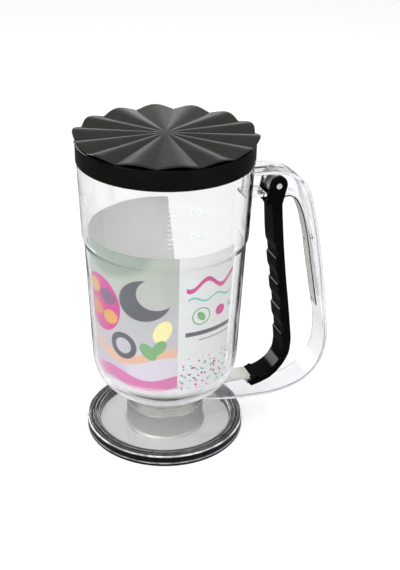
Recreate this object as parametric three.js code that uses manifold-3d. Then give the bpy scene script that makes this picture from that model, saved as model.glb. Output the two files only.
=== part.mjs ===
// A hand-held dispenser for pancake batter. A clear jug with a fluted push-on lid stands on a
// drip stand, and a sprung trigger inside its handle draws a gate valve open under the outlet.
// Millimetres, +Z up, +X from the jug towards the handle, the stand's foot at z = 0.
import * as THREE from "three";
import { mergeVertices } from "three/addons/utils/BufferGeometryUtils.js";
import Module from "manifold-3d";

const wasm = await Module();
wasm.setup();

// Clearances between pieces
const seatGap = 0.3; // between two pieces that sit on or in each other
const runGap = 0.3; // between two pieces that turn or slide on each other
const cutOver = 2; // how far a cutting shape runs past what it cuts

// Stand: a clear tray with a dark grip ring under its rim and a socket for the jug's neck
const trayRadius = 53;
const trayHeight = 7.6;
const trayRimWidth = 8.6;
const trayWall = 1.5;
const trayFloor = 2.4;
const rimBeadCount = 3;
const rimBeadHeight = 0.5;
const rimBeadWidth = 1.1;
const socketWall = 2;
const socketFlare = 1.6;
const socketTop = 18.6;

// Neck under the jug: the ring, the cover with the outlet, and the valve between them
const neckRadius = 26;
const neckWall = 2;
const outletBore = 7;
const nozzleWall = 2.2;
const nozzleDrop = 12;
const coverThickness = 2.2;
const spigotWall = 1.8;
const spigotDepth = 10;
const railWidth = 2.2;
const plateBottom = 26.5;
const plateThickness = 1.8;
const plateWidth = 12;
const plateOverlap = 4.5; // how far the gate reaches past the outlet when it is shut
const bossRadius = 12;
const sealWidth = 2;
const sealHeight = 1.9;
const sealInset = 1.4;
const bossClearance = 0.7;

// Jug
const jugBottom = 32;
const jugBottomThickness = 3.2;
const jugFunnelDrop = 1.4;
const jugFunnelWidth = 6;
const jugWall = 2.2;
const bowlRadius = 48;
const bowlTop = 62;
const stepBottomRadius = 51.1;
const stepTopRadius = 52.6;
const stepHeight = 141;
const stepRise = 6;
const rimRadius = 54.4;
const rimRebate = 1.2; // how far the rim steps in under the lid's skirt
const rimHeight = 202.7;

// Lid: a skirt with a plug wall and a seal, and a fluted disc on top
const lidOverlap = 10.5; // how far the skirt reaches down over the rim
const lidWall = 1.5;
const lidEdgeChamfer = 0.8;
const lidPlateThickness = 1.6;
const lidPlugDepth = 8;
const lidPlugWall = 1.6;
const lidSealHeight = 2.4;
const lidSealDepth = 1.3;
const fluteCount = 14;
const fluteTurn = 2.9; // degrees round from +X to the first crest
const fluteRise = 2.5;
const fluteThickness = 1;
const fluteOverhang = 1; // how far the disc's edge reaches past the skirt, halfway up a flute
const fluteScallop = 1;

// Handle and the swing of its trigger
const handleReach = 62.4; // from the jug's side to the back of the handle
const handleDrop = 12.2; // from the lid's skirt down to the top of the handle
const handleWidth = 20;
const bandThickness = 2.4;
const webThickness = 3.2;
const flangeThickness = 2.2;
const flangeWidth = 16;
const pinDrop = 11.6; // from the top of the handle down to the trigger's pin
const pinRadius = 1.9;
const bushWall = 1.9;
const hubWall = 1.8;
const leverWidth = 18;
const leverWall = 2.2;
const leverFrontWall = 2.75;
const leverEarRadius = 6;
const leverEarReach = 8; // from the pin to the ears' jug side, where they leave the lever
const leverEarRise = 1.6;
const recessCount = 4;
const recessDepth = 1.1;
const springWidth = 9;
const springThickness = 0.8;
const rivetRadius = 1.1;
const rivetHeadRadius = 1.9;
const rivetHeadHeight = 0.6;
const rivetLength = 2.6;

// Hook at the end of the valve plate, and the trigger's pin that draws it
const drivePinRadius = 1;
const hookDepth = 2.9;
const hookDrop = 2.2; // from the underside of the plate down to the top of the hook
const hookRiser = 1.7;
const hookBack = 5.6; // from the drive pin back to the riser
const hookFront = 3.5; // from the drive pin to the free end of the hook
const notchDepth = 1.5;

// Printed card rolled inside the jug
const cardThickness = 0.6;
const cardBottom = 52;
const cardTop = 147.5;
const cardGapStart = -51; // degrees round from +X where the card's open gap begins
const cardGapEnd = 68; // degrees round from +X where it ends

// Facets
const roundSteps = 48;
const neckSteps = 36;
const smallSteps = 24;
const curveSteps = 24;
const bowlSteps = 7;
const stepsPerFlute = 8;

// Heights that follow from the sizes above
const neckBottom = socketTop + seatGap;
const neckTop = jugBottom - seatGap;
const plateTop = plateBottom + plateThickness;
const plateMiddle = plateBottom + plateThickness / 2;
const coverTop = plateBottom - runGap;
const lidBottom = rimHeight - lidOverlap;
const handleTop = lidBottom - handleDrop;
const pinHeight = handleTop - pinDrop;
const gripHeight = pinHeight - plateMiddle;

// Outlines in the plane of the handle. The first share is of the handle's reach, from the jug's
// side, and the second is of the grip's height, from the valve plate up to the trigger's pin.
const handleOuterShares = [
  [-0.042, 1.082], [0.183, 1.082], [0.311, 1.077], [0.423, 1.065], [0.519, 1.044], [0.599, 1.013],
  [0.657, 0.976], [0.708, 0.916], [0.784, 0.787], [0.857, 0.627], [0.928, 0.435], [0.978, 0.281],
  [1, 0.182], [0.978, 0.082], [0.878, -0.004], [0.702, -0.066], [0.401, -0.101],
  [0.054, -0.1], [-0.202, -0.091], [-0.522, -0.062],
];
const springPathShares = [
  [0.364, 0.918], [0.389, 0.926], [0.433, 0.934], [0.489, 0.933], [0.546, 0.918], [0.596, 0.886],
  [0.652, 0.823], [0.715, 0.713], [0.771, 0.584], [0.827, 0.458], [0.881, 0.34],
];
const flangeTopShares = [[-0.045, 0.955], [0.1, 0.955], [0.4, 0.955]];
const flangeEndShares = [[0.929, 0.274], [0.958, 0.217]];
const flangeNotchShares = [0.192, 0.431];
const leverBackShares = [
  [0.122, -0.044], [0.239, -0.03], [0.353, -0.007], [0.462, 0.039], [0.548, 0.105], [0.567, 0.177],
  [0.556, 0.24], [0.508, 0.401], [0.465, 0.532], [0.417, 0.701], [0.381, 0.862], [0.369, 0.926],
];
const leverFrontShares = [
  [0.231, 0.93], [0.268, 0.889], [0.308, 0.7], [0.45, 0.223], [0.468, 0.13], [0.444, 0.081],
  [0.37, 0.04], [0.256, 0.012], [0.144, 0.001],
];
const leverPinShare = 0.321;
const leverFootShares = [0.077, -0.02]; // the middle of the lever's foot, in front of the hook
const drivePinShares = [0.207, -0.021];
const recessTopShare = 0.683; // where the highest finger recess begins, going down the lever
const recessPitchShare = 0.138;
const rivetHeightShares = [0.703, 0.37];
const flangeSpringShare = 0.09; // where along the spring the flange begins to lie behind it

// Shapes in shares of the piece's own size
const recessShare = 0.37; // of the pitch, from a recess's top down to the ledge at its bottom
const padEaseShare = 0.3; // of the pitch, over which the pad above a recess curves in towards it
const bowlFlatShare = 0.46; // how much of the bowl's radius is the flat round the neck
const bowlRoundShare = 0.86; // the bowl's roundness: 1 is an ellipse, less is squarer
const stepEaseShares = [0, 0.15, 0.5, 0.85, 1];
const fluteStartShare = 0.07; // the flat middle of the disc
const fluteRingShares = [fluteStartShare, 0.5, 1];
const fluteCrestShare = 0.85; // 1 is an even wave, and less makes the crests broader than the valleys

const part = new THREE.Group();

// A closed geometry as a solid that can be joined and cut
function solid(geometry) {
  const bare = geometry.clone();
  bare.deleteAttribute("normal");
  bare.deleteAttribute("uv");
  const welded = mergeVertices(bare, seatGap / 1000);
  const mesh = new wasm.Mesh({
    numProp: 3,
    vertProperties: new Float32Array(welded.attributes.position.array),
    triVerts: new Uint32Array(welded.index.array),
  });
  return new wasm.Manifold(mesh);
}

// A solid turned back into a geometry with flat facets
function geometryOf(body) {
  const mesh = body.getMesh();
  const geometry = new THREE.BufferGeometry();
  geometry.setAttribute("position", new THREE.BufferAttribute(new Float32Array(mesh.vertProperties), 3));
  geometry.setIndex(new THREE.BufferAttribute(new Uint32Array(mesh.triVerts), 1));
  const facets = geometry.toNonIndexed();
  facets.computeVertexNormals();
  return facets;
}

// Adds one named piece to the part
function addPiece(name, body, finish) {
  const mesh = new THREE.Mesh(geometryOf(body), new THREE.MeshStandardMaterial(finish));
  mesh.name = name;
  part.add(mesh);
}

// A profile of [radius, height] points, up the outside and down the inside, turned about Z
function turned(profile, steps = roundSteps) {
  const first = profile[0];
  const last = profile[profile.length - 1];
  const onAxis = first[0] === 0 && last[0] === 0;
  const closed = onAxis ? profile : [...profile, first];
  const points = closed.map(([radius, height]) => new THREE.Vector2(radius, height));
  return solid(new THREE.LatheGeometry(points, steps).rotateX(Math.PI / 2));
}

// A tube along Z
function tube(outer, inner, bottom, top, steps = roundSteps) {
  return turned([[outer, bottom], [outer, top], [inner, top], [inner, bottom]], steps);
}

// A box between two corners
function block(low, high) {
  const size = high.map((value, axis) => value - low[axis]);
  const middle = high.map((value, axis) => (value + low[axis]) / 2);
  return solid(new THREE.BoxGeometry(...size).translate(...middle));
}

// An outline of [x, z] points drawn through a width that is centred on the handle's plane
function acrossY(outline, width) {
  const shape = new THREE.Shape(outline.map(([x, z]) => new THREE.Vector2(x, z)));
  const geometry = new THREE.ExtrudeGeometry(shape, { depth: width, bevelEnabled: false });
  return solid(geometry.rotateX(Math.PI / 2).translate(0, width / 2, 0));
}

// A round bar across the handle's plane
function barAcrossY([x, z], radius, width) {
  const geometry = new THREE.CylinderGeometry(radius, radius, width, smallSteps);
  return solid(geometry.translate(x, 0, z));
}

// Shares of the handle's reach and the grip's height as an [x, z] point
function gripPoint([reachShare, heightShare]) {
  return [stepTopRadius + reachShare * handleReach, plateMiddle + heightShare * gripHeight];
}

// A smooth curve through grip points, as evenly spaced [x, z] points
function gripCurve(shares, steps = curveSteps) {
  const points = shares.map((share) => new THREE.Vector2(...gripPoint(share)));
  return new THREE.SplineCurve(points).getSpacedPoints(steps).map((point) => [point.x, point.y]);
}

// A row of [x, z] points moved sideways, to the left of its own direction for a positive distance
function offsetRow(row, distance) {
  return row.map(([x, z], index) => {
    const before = row[Math.max(index - 1, 0)];
    const after = row[Math.min(index + 1, row.length - 1)];
    const along = new THREE.Vector2(after[0] - before[0], after[1] - before[1]).normalize();
    return [x - along.y * distance, z + along.x * distance];
  });
}

// A strip of even thickness to the left of a row of points, drawn through a width
function strip(row, thickness, width) {
  return acrossY([...row, ...offsetRow(row, thickness).reverse()], width);
}

// Stand

function standTray() {
  const inner = trayRadius - trayRimWidth;
  const rimUnder = trayHeight - trayWall;
  const spacing = (trayRimWidth - trayWall) / rimBeadCount;
  const beads = Array.from({ length: rimBeadCount }, (_, index) => {
    const radius = trayRadius - trayWall / 2 - spacing * (index + 1 / 2);
    return [
      [radius + rimBeadWidth / 2, trayHeight],
      [radius, trayHeight + rimBeadHeight],
      [radius - rimBeadWidth / 2, trayHeight],
    ];
  });
  return turned([
    [0, 0], [inner + trayWall, 0], [inner + trayWall, rimUnder], [trayRadius - trayWall, rimUnder],
    [trayRadius - trayWall, 0], [trayRadius, 0], [trayRadius, trayHeight - trayWall / 2],
    [trayRadius - trayWall / 2, trayHeight], ...beads.flat(),
    [inner + trayWall / 2, trayHeight], [inner, trayHeight - trayWall / 2],
    [inner, trayFloor], [0, trayFloor],
  ]);
}

function standGripRing() {
  const inner = trayRadius - trayRimWidth + trayWall + seatGap;
  const outer = trayRadius - trayWall - seatGap;
  return tube(outer, inner, 0, trayHeight - trayWall - seatGap);
}

function standSocket() {
  const bottom = trayFloor + seatGap;
  const inner = neckRadius - socketWall;
  return turned([
    [inner, bottom], [neckRadius + socketFlare, bottom],
    [neckRadius + socketFlare / 3, bottom + socketFlare / 3], [neckRadius, bottom + socketFlare],
    [neckRadius, socketTop], [inner, socketTop],
  ], neckSteps);
}

// Neck and valve

function neckRing() {
  const side = plateWidth / 2 + runGap;
  const slot = block(
    [0, -side, plateBottom - runGap],
    [neckRadius + cutOver, side, plateTop + runGap],
  );
  return tube(neckRadius, neckRadius - neckWall, neckBottom, neckTop, neckSteps).subtract(slot);
}

// The cover with its nozzle, the spigot that fits the stand's socket and the valve plate's rails
function outletCover() {
  const outer = neckRadius - neckWall - seatGap;
  const coverBottom = coverTop - coverThickness;
  const railInner = plateWidth / 2 + runGap;
  const railEnd = Math.sqrt(outer ** 2 - (railInner + railWidth) ** 2) - spigotWall;
  const body = turned([
    [outletBore, coverBottom - nozzleDrop], [outletBore + nozzleWall / 2, coverBottom - nozzleDrop],
    [outletBore + nozzleWall, coverBottom], [outer - spigotWall, coverBottom],
    [outer - spigotWall, coverBottom - spigotDepth], [outer - spigotWall / 2, coverBottom - spigotDepth],
    [outer, coverBottom - spigotDepth + spigotWall / 2], [outer, coverTop], [outletBore, coverTop],
  ], neckSteps);
  const rail = block(
    [-railEnd, railInner, coverTop - coverThickness / 2],
    [railEnd, railInner + railWidth, plateTop + runGap],
  );
  return body.add(rail).add(rail.rotate([0, 0, 180]));
}

// The seal's inner and outer radius
function sealRadii() {
  return [outletBore + sealInset, outletBore + sealInset + sealWidth];
}

function outletSeal() {
  const [inner, outer] = sealRadii();
  return tube(outer, inner, plateTop + seatGap, plateTop + seatGap + sealHeight, smallSteps);
}

const drivePinPlace = gripPoint(drivePinShares);

// The gate, its long blade under the jug, and the hook that the trigger's drive pin draws
function valvePlate() {
  const [driveX, driveHeight] = drivePinPlace;
  const half = plateWidth / 2;
  const shutEnd = -outletBore - plateOverlap;
  const corner = plateWidth / 8;
  const riserEnd = driveX - hookBack;
  const hookTop = plateBottom - hookDrop;
  const outline = new THREE.Shape();
  outline.moveTo(riserEnd, -half);
  outline.lineTo(riserEnd, half);
  outline.lineTo(shutEnd + corner, half);
  outline.absarc(shutEnd + corner, half - corner, corner, Math.PI / 2, Math.PI, false);
  outline.absarc(shutEnd + corner, corner - half, corner, Math.PI, Math.PI * 1.5, false);
  const flat = new THREE.ExtrudeGeometry(outline, { depth: plateThickness, bevelEnabled: false, curveSegments: 6 });
  const blade = solid(flat.translate(0, 0, plateBottom));
  const hook = acrossY([
    [riserEnd - hookRiser, plateTop - plateThickness / 2], [riserEnd - hookRiser, hookTop - hookDepth],
    [driveX + hookFront, hookTop - hookDepth], [driveX + hookFront, hookTop], [riserEnd, hookTop],
    [riserEnd, plateTop - plateThickness / 2],
  ], plateWidth);
  const notch = block(
    [driveX - drivePinRadius - runGap, -half - cutOver, driveHeight - notchDepth],
    [driveX + drivePinRadius + runGap, half + cutOver, driveHeight + hookDepth],
  );
  return blade.add(hook.subtract(notch));
}

// The drive pin ends inside the lever's walls
const drivePinLength = leverWidth - leverWall;

function drivePin() {
  return barAcrossY(drivePinPlace, drivePinRadius, drivePinLength);
}

// Jug

// The jug's side from the flat under the bowl up to the lid, moved outwards by a distance
function jugSide(outwards) {
  const flatRadius = bowlRadius * bowlFlatShare;
  const bowl = Array.from({ length: bowlSteps + 1 }, (_, index) => {
    const turn = (index / bowlSteps) * (Math.PI / 2);
    const across = Math.sin(turn) ** bowlRoundShare;
    const down = index === bowlSteps ? 0 : Math.cos(turn) ** bowlRoundShare;
    return [
      flatRadius + (bowlRadius - flatRadius + outwards) * across,
      bowlTop - (bowlTop - jugBottom + outwards) * down,
    ];
  });
  const step = stepEaseShares.map((ease, index) => [
    stepBottomRadius + (stepTopRadius - stepBottomRadius) * ease + outwards,
    stepHeight + stepRise * (index / (stepEaseShares.length - 1) - 1 / 2),
  ]);
  return [...bowl, ...step, [rimRadius + outwards, lidBottom - seatGap]];
}

// Inside radius of the jug at a height between the bowl's flat and the lid
function insideRadius(height) {
  const row = jugSide(-jugWall);
  const above = row.findIndex(([, z]) => z >= height);
  const [[lowRadius, low], [highRadius, high]] = [row[above - 1], row[above]];
  return lowRadius + ((highRadius - lowRadius) * (height - low)) / (high - low);
}

function jugBody() {
  const [sealInner, sealOuter] = sealRadii();
  const bossBottom = plateTop + bossClearance;
  const grooveTop = plateTop + seatGap + sealHeight + seatGap;
  const floor = jugBottom + jugBottomThickness;
  const rim = rimRadius - rimRebate;
  const inside = jugSide(-jugWall).filter(([, height]) => height > floor).reverse();
  return turned([
    [bossRadius, bossBottom], [bossRadius, jugBottom], ...jugSide(0),
    [rim, lidBottom - seatGap], [rim, rimHeight], [rimRadius - jugWall, rimHeight],
    ...inside, [bowlRadius * bowlFlatShare, floor], [outletBore + jugFunnelWidth, floor],
    [outletBore, floor - jugFunnelDrop], [outletBore, bossBottom],
    [sealInner - seatGap, bossBottom], [sealInner - seatGap, grooveTop],
    [sealOuter + seatGap, grooveTop], [sealOuter + seatGap, bossBottom],
  ]);
}

// The card lies as a straight cone against the jug's lower wall, open towards the handle
function labelCard() {
  const wallTop = stepHeight - stepRise / 2;
  const [lowRadius, highRadius] = [cardBottom, wallTop].map((height) => insideRadius(height) - seatGap);
  const topRadius = lowRadius + ((highRadius - lowRadius) * (cardTop - cardBottom)) / (wallTop - cardBottom);
  const ring = turned([
    [lowRadius - cardThickness, cardBottom], [lowRadius, cardBottom],
    [topRadius, cardTop], [topRadius - cardThickness, cardTop],
  ]);
  const reach = topRadius * 2;
  const edges = [cardGapStart, (cardGapStart + cardGapEnd) / 2, cardGapEnd].map((degrees) => {
    const turn = THREE.MathUtils.degToRad(degrees);
    return new THREE.Vector2(reach * Math.cos(turn), reach * Math.sin(turn));
  });
  const wedge = new THREE.Shape([new THREE.Vector2(), ...edges]);
  const gap = new THREE.ExtrudeGeometry(wedge, { depth: rimHeight, bevelEnabled: false });
  return ring.subtract(solid(gap));
}

// Lid

const skirtInner = rimRadius - rimRebate + seatGap;
const skirtTop = rimHeight + seatGap + lidPlateThickness;
const plugOuter = rimRadius - jugWall - seatGap - lidSealDepth - seatGap;

function lidSkirt() {
  const outer = skirtInner + lidWall;
  const underPlate = skirtTop - lidPlateThickness;
  const plugBottom = rimHeight - lidPlugDepth;
  return turned([
    [skirtInner, lidBottom], [outer, lidBottom], [outer, skirtTop - lidEdgeChamfer],
    [outer - lidEdgeChamfer, skirtTop], [0, skirtTop], [0, underPlate],
    [plugOuter - lidPlugWall, underPlate], [plugOuter - lidPlugWall, plugBottom],
    [plugOuter, plugBottom], [plugOuter, underPlate], [skirtInner, underPlate],
  ]);
}

function lidSeal() {
  const inner = plugOuter + seatGap;
  const middle = rimHeight - lidPlugDepth / 2;
  return turned([
    [inner, middle - lidSealHeight / 2], [inner + lidSealDepth, middle - lidSealHeight / 6],
    [inner + lidSealDepth, middle + lidSealHeight / 6], [inner, middle + lidSealHeight / 2],
  ]);
}

// The fluted disc: a polar grid on each face, joined at its scalloped edge. Crests stay level
// from the flat middle to the edge, and the valleys between them fall away towards the edge.
function lidTop() {
  const count = fluteCount * stepsPerFlute;
  const edge = skirtInner + lidWall + fluteOverhang;
  const crestUnder = skirtTop + seatGap + fluteRise;
  const firstCrest = THREE.MathUtils.degToRad(fluteTurn);
  const positions = [];
  const triangles = [];
  const place = (share, turn, lift) => {
    const wave = 2 * ((1 + Math.cos(turn * fluteCount)) / 2) ** fluteCrestShare - 1;
    const fall = Math.max(0, share - fluteStartShare) / (1 - fluteStartShare);
    const radius = share * (edge + fluteScallop * wave * share);
    const height = crestUnder + lift - (fluteRise * fall * (1 - wave)) / 2;
    positions.push(radius * Math.cos(turn + firstCrest), radius * Math.sin(turn + firstCrest), height);
    return positions.length / 3 - 1;
  };
  const faces = [fluteThickness, 0].map((lift) => {
    const centre = place(0, 0, lift);
    const rings = fluteRingShares.map((share) => Array.from({ length: count }, (_, step) => (
      place(share, (step / count) * Math.PI * 2, lift))));
    return { centre, rings };
  });
  faces.forEach(({ centre, rings }, side) => {
    const add = (a, b, c) => triangles.push(...(side === 0 ? [a, b, c] : [a, c, b]));
    for (let step = 0; step < count; step += 1) {
      const next = (step + 1) % count;
      add(centre, rings[0][step], rings[0][next]);
      for (let ring = 1; ring < rings.length; ring += 1) {
        add(rings[ring - 1][step], rings[ring][step], rings[ring][next]);
        add(rings[ring - 1][step], rings[ring][next], rings[ring - 1][next]);
      }
    }
  });
  const [upper, lower] = faces.map(({ rings }) => rings[rings.length - 1]);
  for (let step = 0; step < count; step += 1) {
    const next = (step + 1) % count;
    triangles.push(upper[step], lower[step], lower[next], upper[step], lower[next], upper[next]);
  }
  const geometry = new THREE.BufferGeometry();
  geometry.setAttribute("position", new THREE.Float32BufferAttribute(positions, 3));
  geometry.setIndex(triangles);
  return solid(geometry);
}

// Handle: a band round the outside, an inner flange and the web between them

const pinPlace = [gripPoint([leverPinShare, 1])[0], pinHeight];
const hubWidth = leverWidth - leverWall * 2 - runGap * 2;
const springPath = gripCurve(springPathShares, curveSteps * 2);

// The face of the inner flange, from the jug along the top arm and down behind the spring
function flangeFace() {
  const from = Math.round(springPath.length * flangeSpringShare);
  const behindSpring = offsetRow(springPath, springThickness / 2 + seatGap).slice(from);
  return [...flangeTopShares.map(gripPoint), ...behindSpring, ...flangeEndShares.map(gripPoint)];
}

function handleBody() {
  const outer = gripCurve(handleOuterShares, curveSteps * 2);
  const face = flangeFace();
  const lowest = face[face.length - 1][1];
  const band = strip(outer, -bandThickness, handleWidth);
  const bandMiddle = offsetRow(outer, -bandThickness / 2);
  const firstBelow = bandMiddle.findIndex(([, z]) => z < lowest);
  const web = acrossY([...face, ...bandMiddle.slice(0, firstBelow).reverse()], webThickness);
  const [notchStart, notchEnd] = flangeNotchShares.map((share) => gripPoint([share, 0])[0]);
  const notch = block(
    [notchStart, webThickness / 2, pinHeight - pinDrop],
    [notchEnd, handleWidth, handleTop - bandThickness * 2],
  );
  const flange = strip(face, flangeThickness, flangeWidth).subtract(notch).subtract(notch.mirror([0, 1, 0]));
  const boreRadius = pinRadius + runGap + bushWall + seatGap;
  const hub = barAcrossY(pinPlace, boreRadius + hubWall, hubWidth);
  const bore = barAcrossY(pinPlace, boreRadius, handleWidth + cutOver);
  const jugSpace = turned([[0, jugBottom], ...jugSide(seatGap), [0, lidBottom]]);
  const neckSpace = turned([
    [0, neckBottom - handleWidth], [neckRadius + seatGap, neckBottom - handleWidth],
    [neckRadius + seatGap, jugBottom], [0, jugBottom],
  ], neckSteps);
  return band.add(web).add(flange).add(hub).subtract(bore)
    .subtract(rivetHoles(rivetRadius + seatGap)).subtract(jugSpace).subtract(neckSpace);
}

function pivotBush() {
  const outer = barAcrossY(pinPlace, pinRadius + runGap + bushWall, hubWidth);
  return outer.subtract(barAcrossY(pinPlace, pinRadius + runGap, hubWidth + cutOver));
}

function hingePin() {
  return barAcrossY(pinPlace, pinRadius, leverWidth);
}

// Leaf spring, and the two rivets that hold its long leg on the handle

function rivetPlaces() {
  return rivetHeightShares.map((share) => {
    const height = gripPoint([0, share])[1];
    const index = springPath.findIndex(([, z], at) => at > springPath.length * flangeSpringShare && z < height);
    const [before, here] = [springPath[index - 1], springPath[index]];
    const along = new THREE.Vector2(here[0] - before[0], here[1] - before[1]).normalize();
    return { x: here[0], z: here[1], turn: Math.atan2(along.x, -along.y) };
  });
}

// A round bar square to the spring's face, from one distance behind it to another
function barThroughSpring({ x, z, turn }, radius, from, to) {
  const geometry = new THREE.CylinderGeometry(radius, radius, to - from, smallSteps / 2);
  geometry.translate(0, (from + to) / 2, 0).rotateZ(-Math.PI / 2).rotateY(-turn);
  return solid(geometry.translate(x, 0, z));
}

function rivetHoles(radius) {
  const [upper, lower] = rivetPlaces().map((at) => barThroughSpring(at, radius, -cutOver, rivetLength + seatGap));
  return upper.add(lower);
}

function leafSpring() {
  const row = offsetRow(springPath, -springThickness / 2);
  return strip(row, springThickness, springWidth).subtract(rivetHoles(rivetRadius + seatGap));
}

function springRivet(at) {
  const headFrom = -springThickness / 2 - seatGap - rivetHeadHeight;
  const head = barThroughSpring(at, rivetHeadRadius, headFrom, headFrom + rivetHeadHeight);
  return head.add(barThroughSpring(at, rivetRadius, headFrom, rivetLength));
}

// Trigger

// How far in the lever's jug side lies, from 0 on the pads to 1 in the finger recesses. The place
// is counted in pitches down from the top of the highest recess.
function recessAt(place) {
  if (place < -padEaseShare || place > recessCount - 1 + recessShare) return 0;
  const within = place - Math.floor(place);
  if (within <= recessShare) return 1;
  return Math.max(0, (within - 1 + padEaseShare) / padEaseShare) ** 2;
}

// The lever's jug side, with a recess for each finger
function leverFront() {
  const top = gripPoint([0, recessTopShare])[1];
  return gripCurve(leverFrontShares, curveSteps * 4).map(([x, z]) => {
    const place = (top - z) / (recessPitchShare * gripHeight);
    return [x + recessDepth * recessAt(place), z];
  });
}

// A channel that is open at its back and at its foot, with two ears round the hinge pin and a
// rest inside for the free end of the leaf spring
function triggerLever() {
  const back = gripCurve(leverBackShares);
  const front = leverFront();
  const frontInside = offsetRow(gripCurve(leverFrontShares, curveSteps * 2), leverFrontWall);
  const [pinX] = pinPlace;
  const neckTopHeight = pinHeight + leverEarRise;
  const neckTopRadius = leverEarRadius - leverEarRise / 2;
  const ears = acrossY([
    front[0], [pinX - leverEarReach, front[0][1]], [pinX - leverEarRadius, pinHeight],
    [pinX + leverEarRadius, pinHeight], back[back.length - 1],
  ], leverWidth)
    .add(barAcrossY(pinPlace, leverEarRadius, leverWidth))
    .add(barAcrossY([pinX, neckTopHeight], neckTopRadius, leverWidth));
  const inside = leverWidth - leverWall * 2;
  const channel = acrossY([...offsetRow(back, -handleWidth), ...frontInside], inside);
  const [footX, footHeight] = frontInside[frontInside.length - 1];
  const mouth = block(
    [footX - leverEarRadius, -inside / 2, footHeight - handleWidth],
    [drivePinPlace[0], inside / 2, footHeight],
  );
  const riserSpace = block(
    [footX - leverEarRadius, -inside / 2, footHeight - handleWidth],
    [drivePinPlace[0] - hookBack + runGap * 3, inside / 2, plateTop + hookDrop],
  );
  const betweenEars = block(
    [pinX - handleWidth, -inside / 2, front[0][1]],
    [pinX + handleWidth, inside / 2, handleTop + cutOver],
  );
  const [tipX, tipHeight] = springPath[0];
  const rest = block(
    [frontInside[1][0] - leverFrontWall / 2, -inside / 2 - leverWall / 2, tipHeight - springWidth / 2],
    [tipX - springThickness / 2 - seatGap, inside / 2 + leverWall / 2, tipHeight + springThickness],
  );
  return acrossY([...back, ...front, gripPoint(leverFootShares)], leverWidth).add(ears)
    .subtract(channel).subtract(mouth).subtract(riserSpace).subtract(betweenEars).add(rest)
    .subtract(barAcrossY(pinPlace, pinRadius + seatGap, leverWidth + cutOver))
    .subtract(barAcrossY(drivePinPlace, drivePinRadius + seatGap, drivePinLength + seatGap * 2));
}

// Finishes
const clearPlastic = { color: 0xf2f5f6, roughness: 0.05, metalness: 0, transparent: true, opacity: 0.35 };
const milkyPlastic = { color: 0xdfe2dc, roughness: 0.35, metalness: 0 };
const glossBlack = { color: 0x0b0c0c, roughness: 0.12, metalness: 0 };
const satinCharcoal = { color: 0x33342f, roughness: 0.38, metalness: 0 };
const darkRubber = { color: 0x1c1d1e, roughness: 0.6, metalness: 0 };
const springSteel = { color: 0xc8c4ba, roughness: 0.25, metalness: 1 };
const greySilicone = { color: 0xd6d8d8, roughness: 0.55, metalness: 0 };
const printedCard = { color: 0xcfd0cc, roughness: 0.7, metalness: 0 };

addPiece("stand_tray", standTray(), clearPlastic);
addPiece("stand_grip_ring", standGripRing(), darkRubber);
addPiece("stand_socket", standSocket(), clearPlastic);
addPiece("jug_body", jugBody(), clearPlastic);
addPiece("neck_ring", neckRing(), clearPlastic);
addPiece("outlet_cover", outletCover(), clearPlastic);
addPiece("outlet_seal", outletSeal(), greySilicone);
addPiece("valve_plate", valvePlate(), milkyPlastic);
addPiece("label_card", labelCard(), printedCard);
addPiece("lid_skirt", lidSkirt(), glossBlack);
addPiece("lid_seal", lidSeal(), greySilicone);
addPiece("lid_top", lidTop(), satinCharcoal);
addPiece("handle", handleBody(), clearPlastic);
addPiece("pivot_bush", pivotBush(), clearPlastic);
addPiece("hinge_pin", hingePin(), springSteel);
addPiece("leaf_spring", leafSpring(), springSteel);
addPiece("trigger_lever", triggerLever(), glossBlack);
addPiece("drive_pin", drivePin(), springSteel);
rivetPlaces().forEach((at, index) => {
  addPiece(`spring_rivet_${index + 1}`, springRivet(at), springSteel);
});

export default part;
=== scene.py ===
"""Dresses the batter dispenser: smooth pieces, their finishes, and a plain pale studio.

Sizes are written in millimetres, as in the part's own source, and every mesh is turned into metres
when it is made. +Z is up, +X runs from the jug to the handle.
"""

from __future__ import annotations

import logging
import math
from dataclasses import dataclass, field
from enum import Enum
from typing import Sequence

import bmesh
import bpy
import numpy as np
from mathutils import Matrix, Vector


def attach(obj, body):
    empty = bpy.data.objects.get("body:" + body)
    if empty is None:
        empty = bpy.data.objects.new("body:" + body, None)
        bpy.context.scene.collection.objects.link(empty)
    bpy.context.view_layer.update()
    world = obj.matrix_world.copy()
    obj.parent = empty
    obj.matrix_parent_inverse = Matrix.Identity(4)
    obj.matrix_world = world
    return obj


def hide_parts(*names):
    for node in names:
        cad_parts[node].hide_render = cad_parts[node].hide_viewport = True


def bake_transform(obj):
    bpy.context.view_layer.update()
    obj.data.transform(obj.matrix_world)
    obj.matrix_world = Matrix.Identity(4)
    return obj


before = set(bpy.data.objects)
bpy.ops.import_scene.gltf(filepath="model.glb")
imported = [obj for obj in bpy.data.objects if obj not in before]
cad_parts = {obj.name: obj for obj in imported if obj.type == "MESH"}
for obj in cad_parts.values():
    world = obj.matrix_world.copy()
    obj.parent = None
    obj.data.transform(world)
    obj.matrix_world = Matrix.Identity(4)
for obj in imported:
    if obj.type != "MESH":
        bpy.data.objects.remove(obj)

LOG = logging.getLogger("dispenser")
MM = 0.001
SHARP_ANGLE = 40.0
WELD_DISTANCE = 1e-6
SAME_POINT = 1e-5
CORNER_SHARE = 0.45
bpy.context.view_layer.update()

Colour = tuple[float, float, float]
Triple = tuple[float, float, float]
Pair = tuple[float, float]
Shares = tuple[tuple[float, float], ...]
Row = np.ndarray
Faces = list[list[int]]
Piece = bpy.types.Object
Node = bpy.types.Node
Socket = bpy.types.NodeSocket


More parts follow.
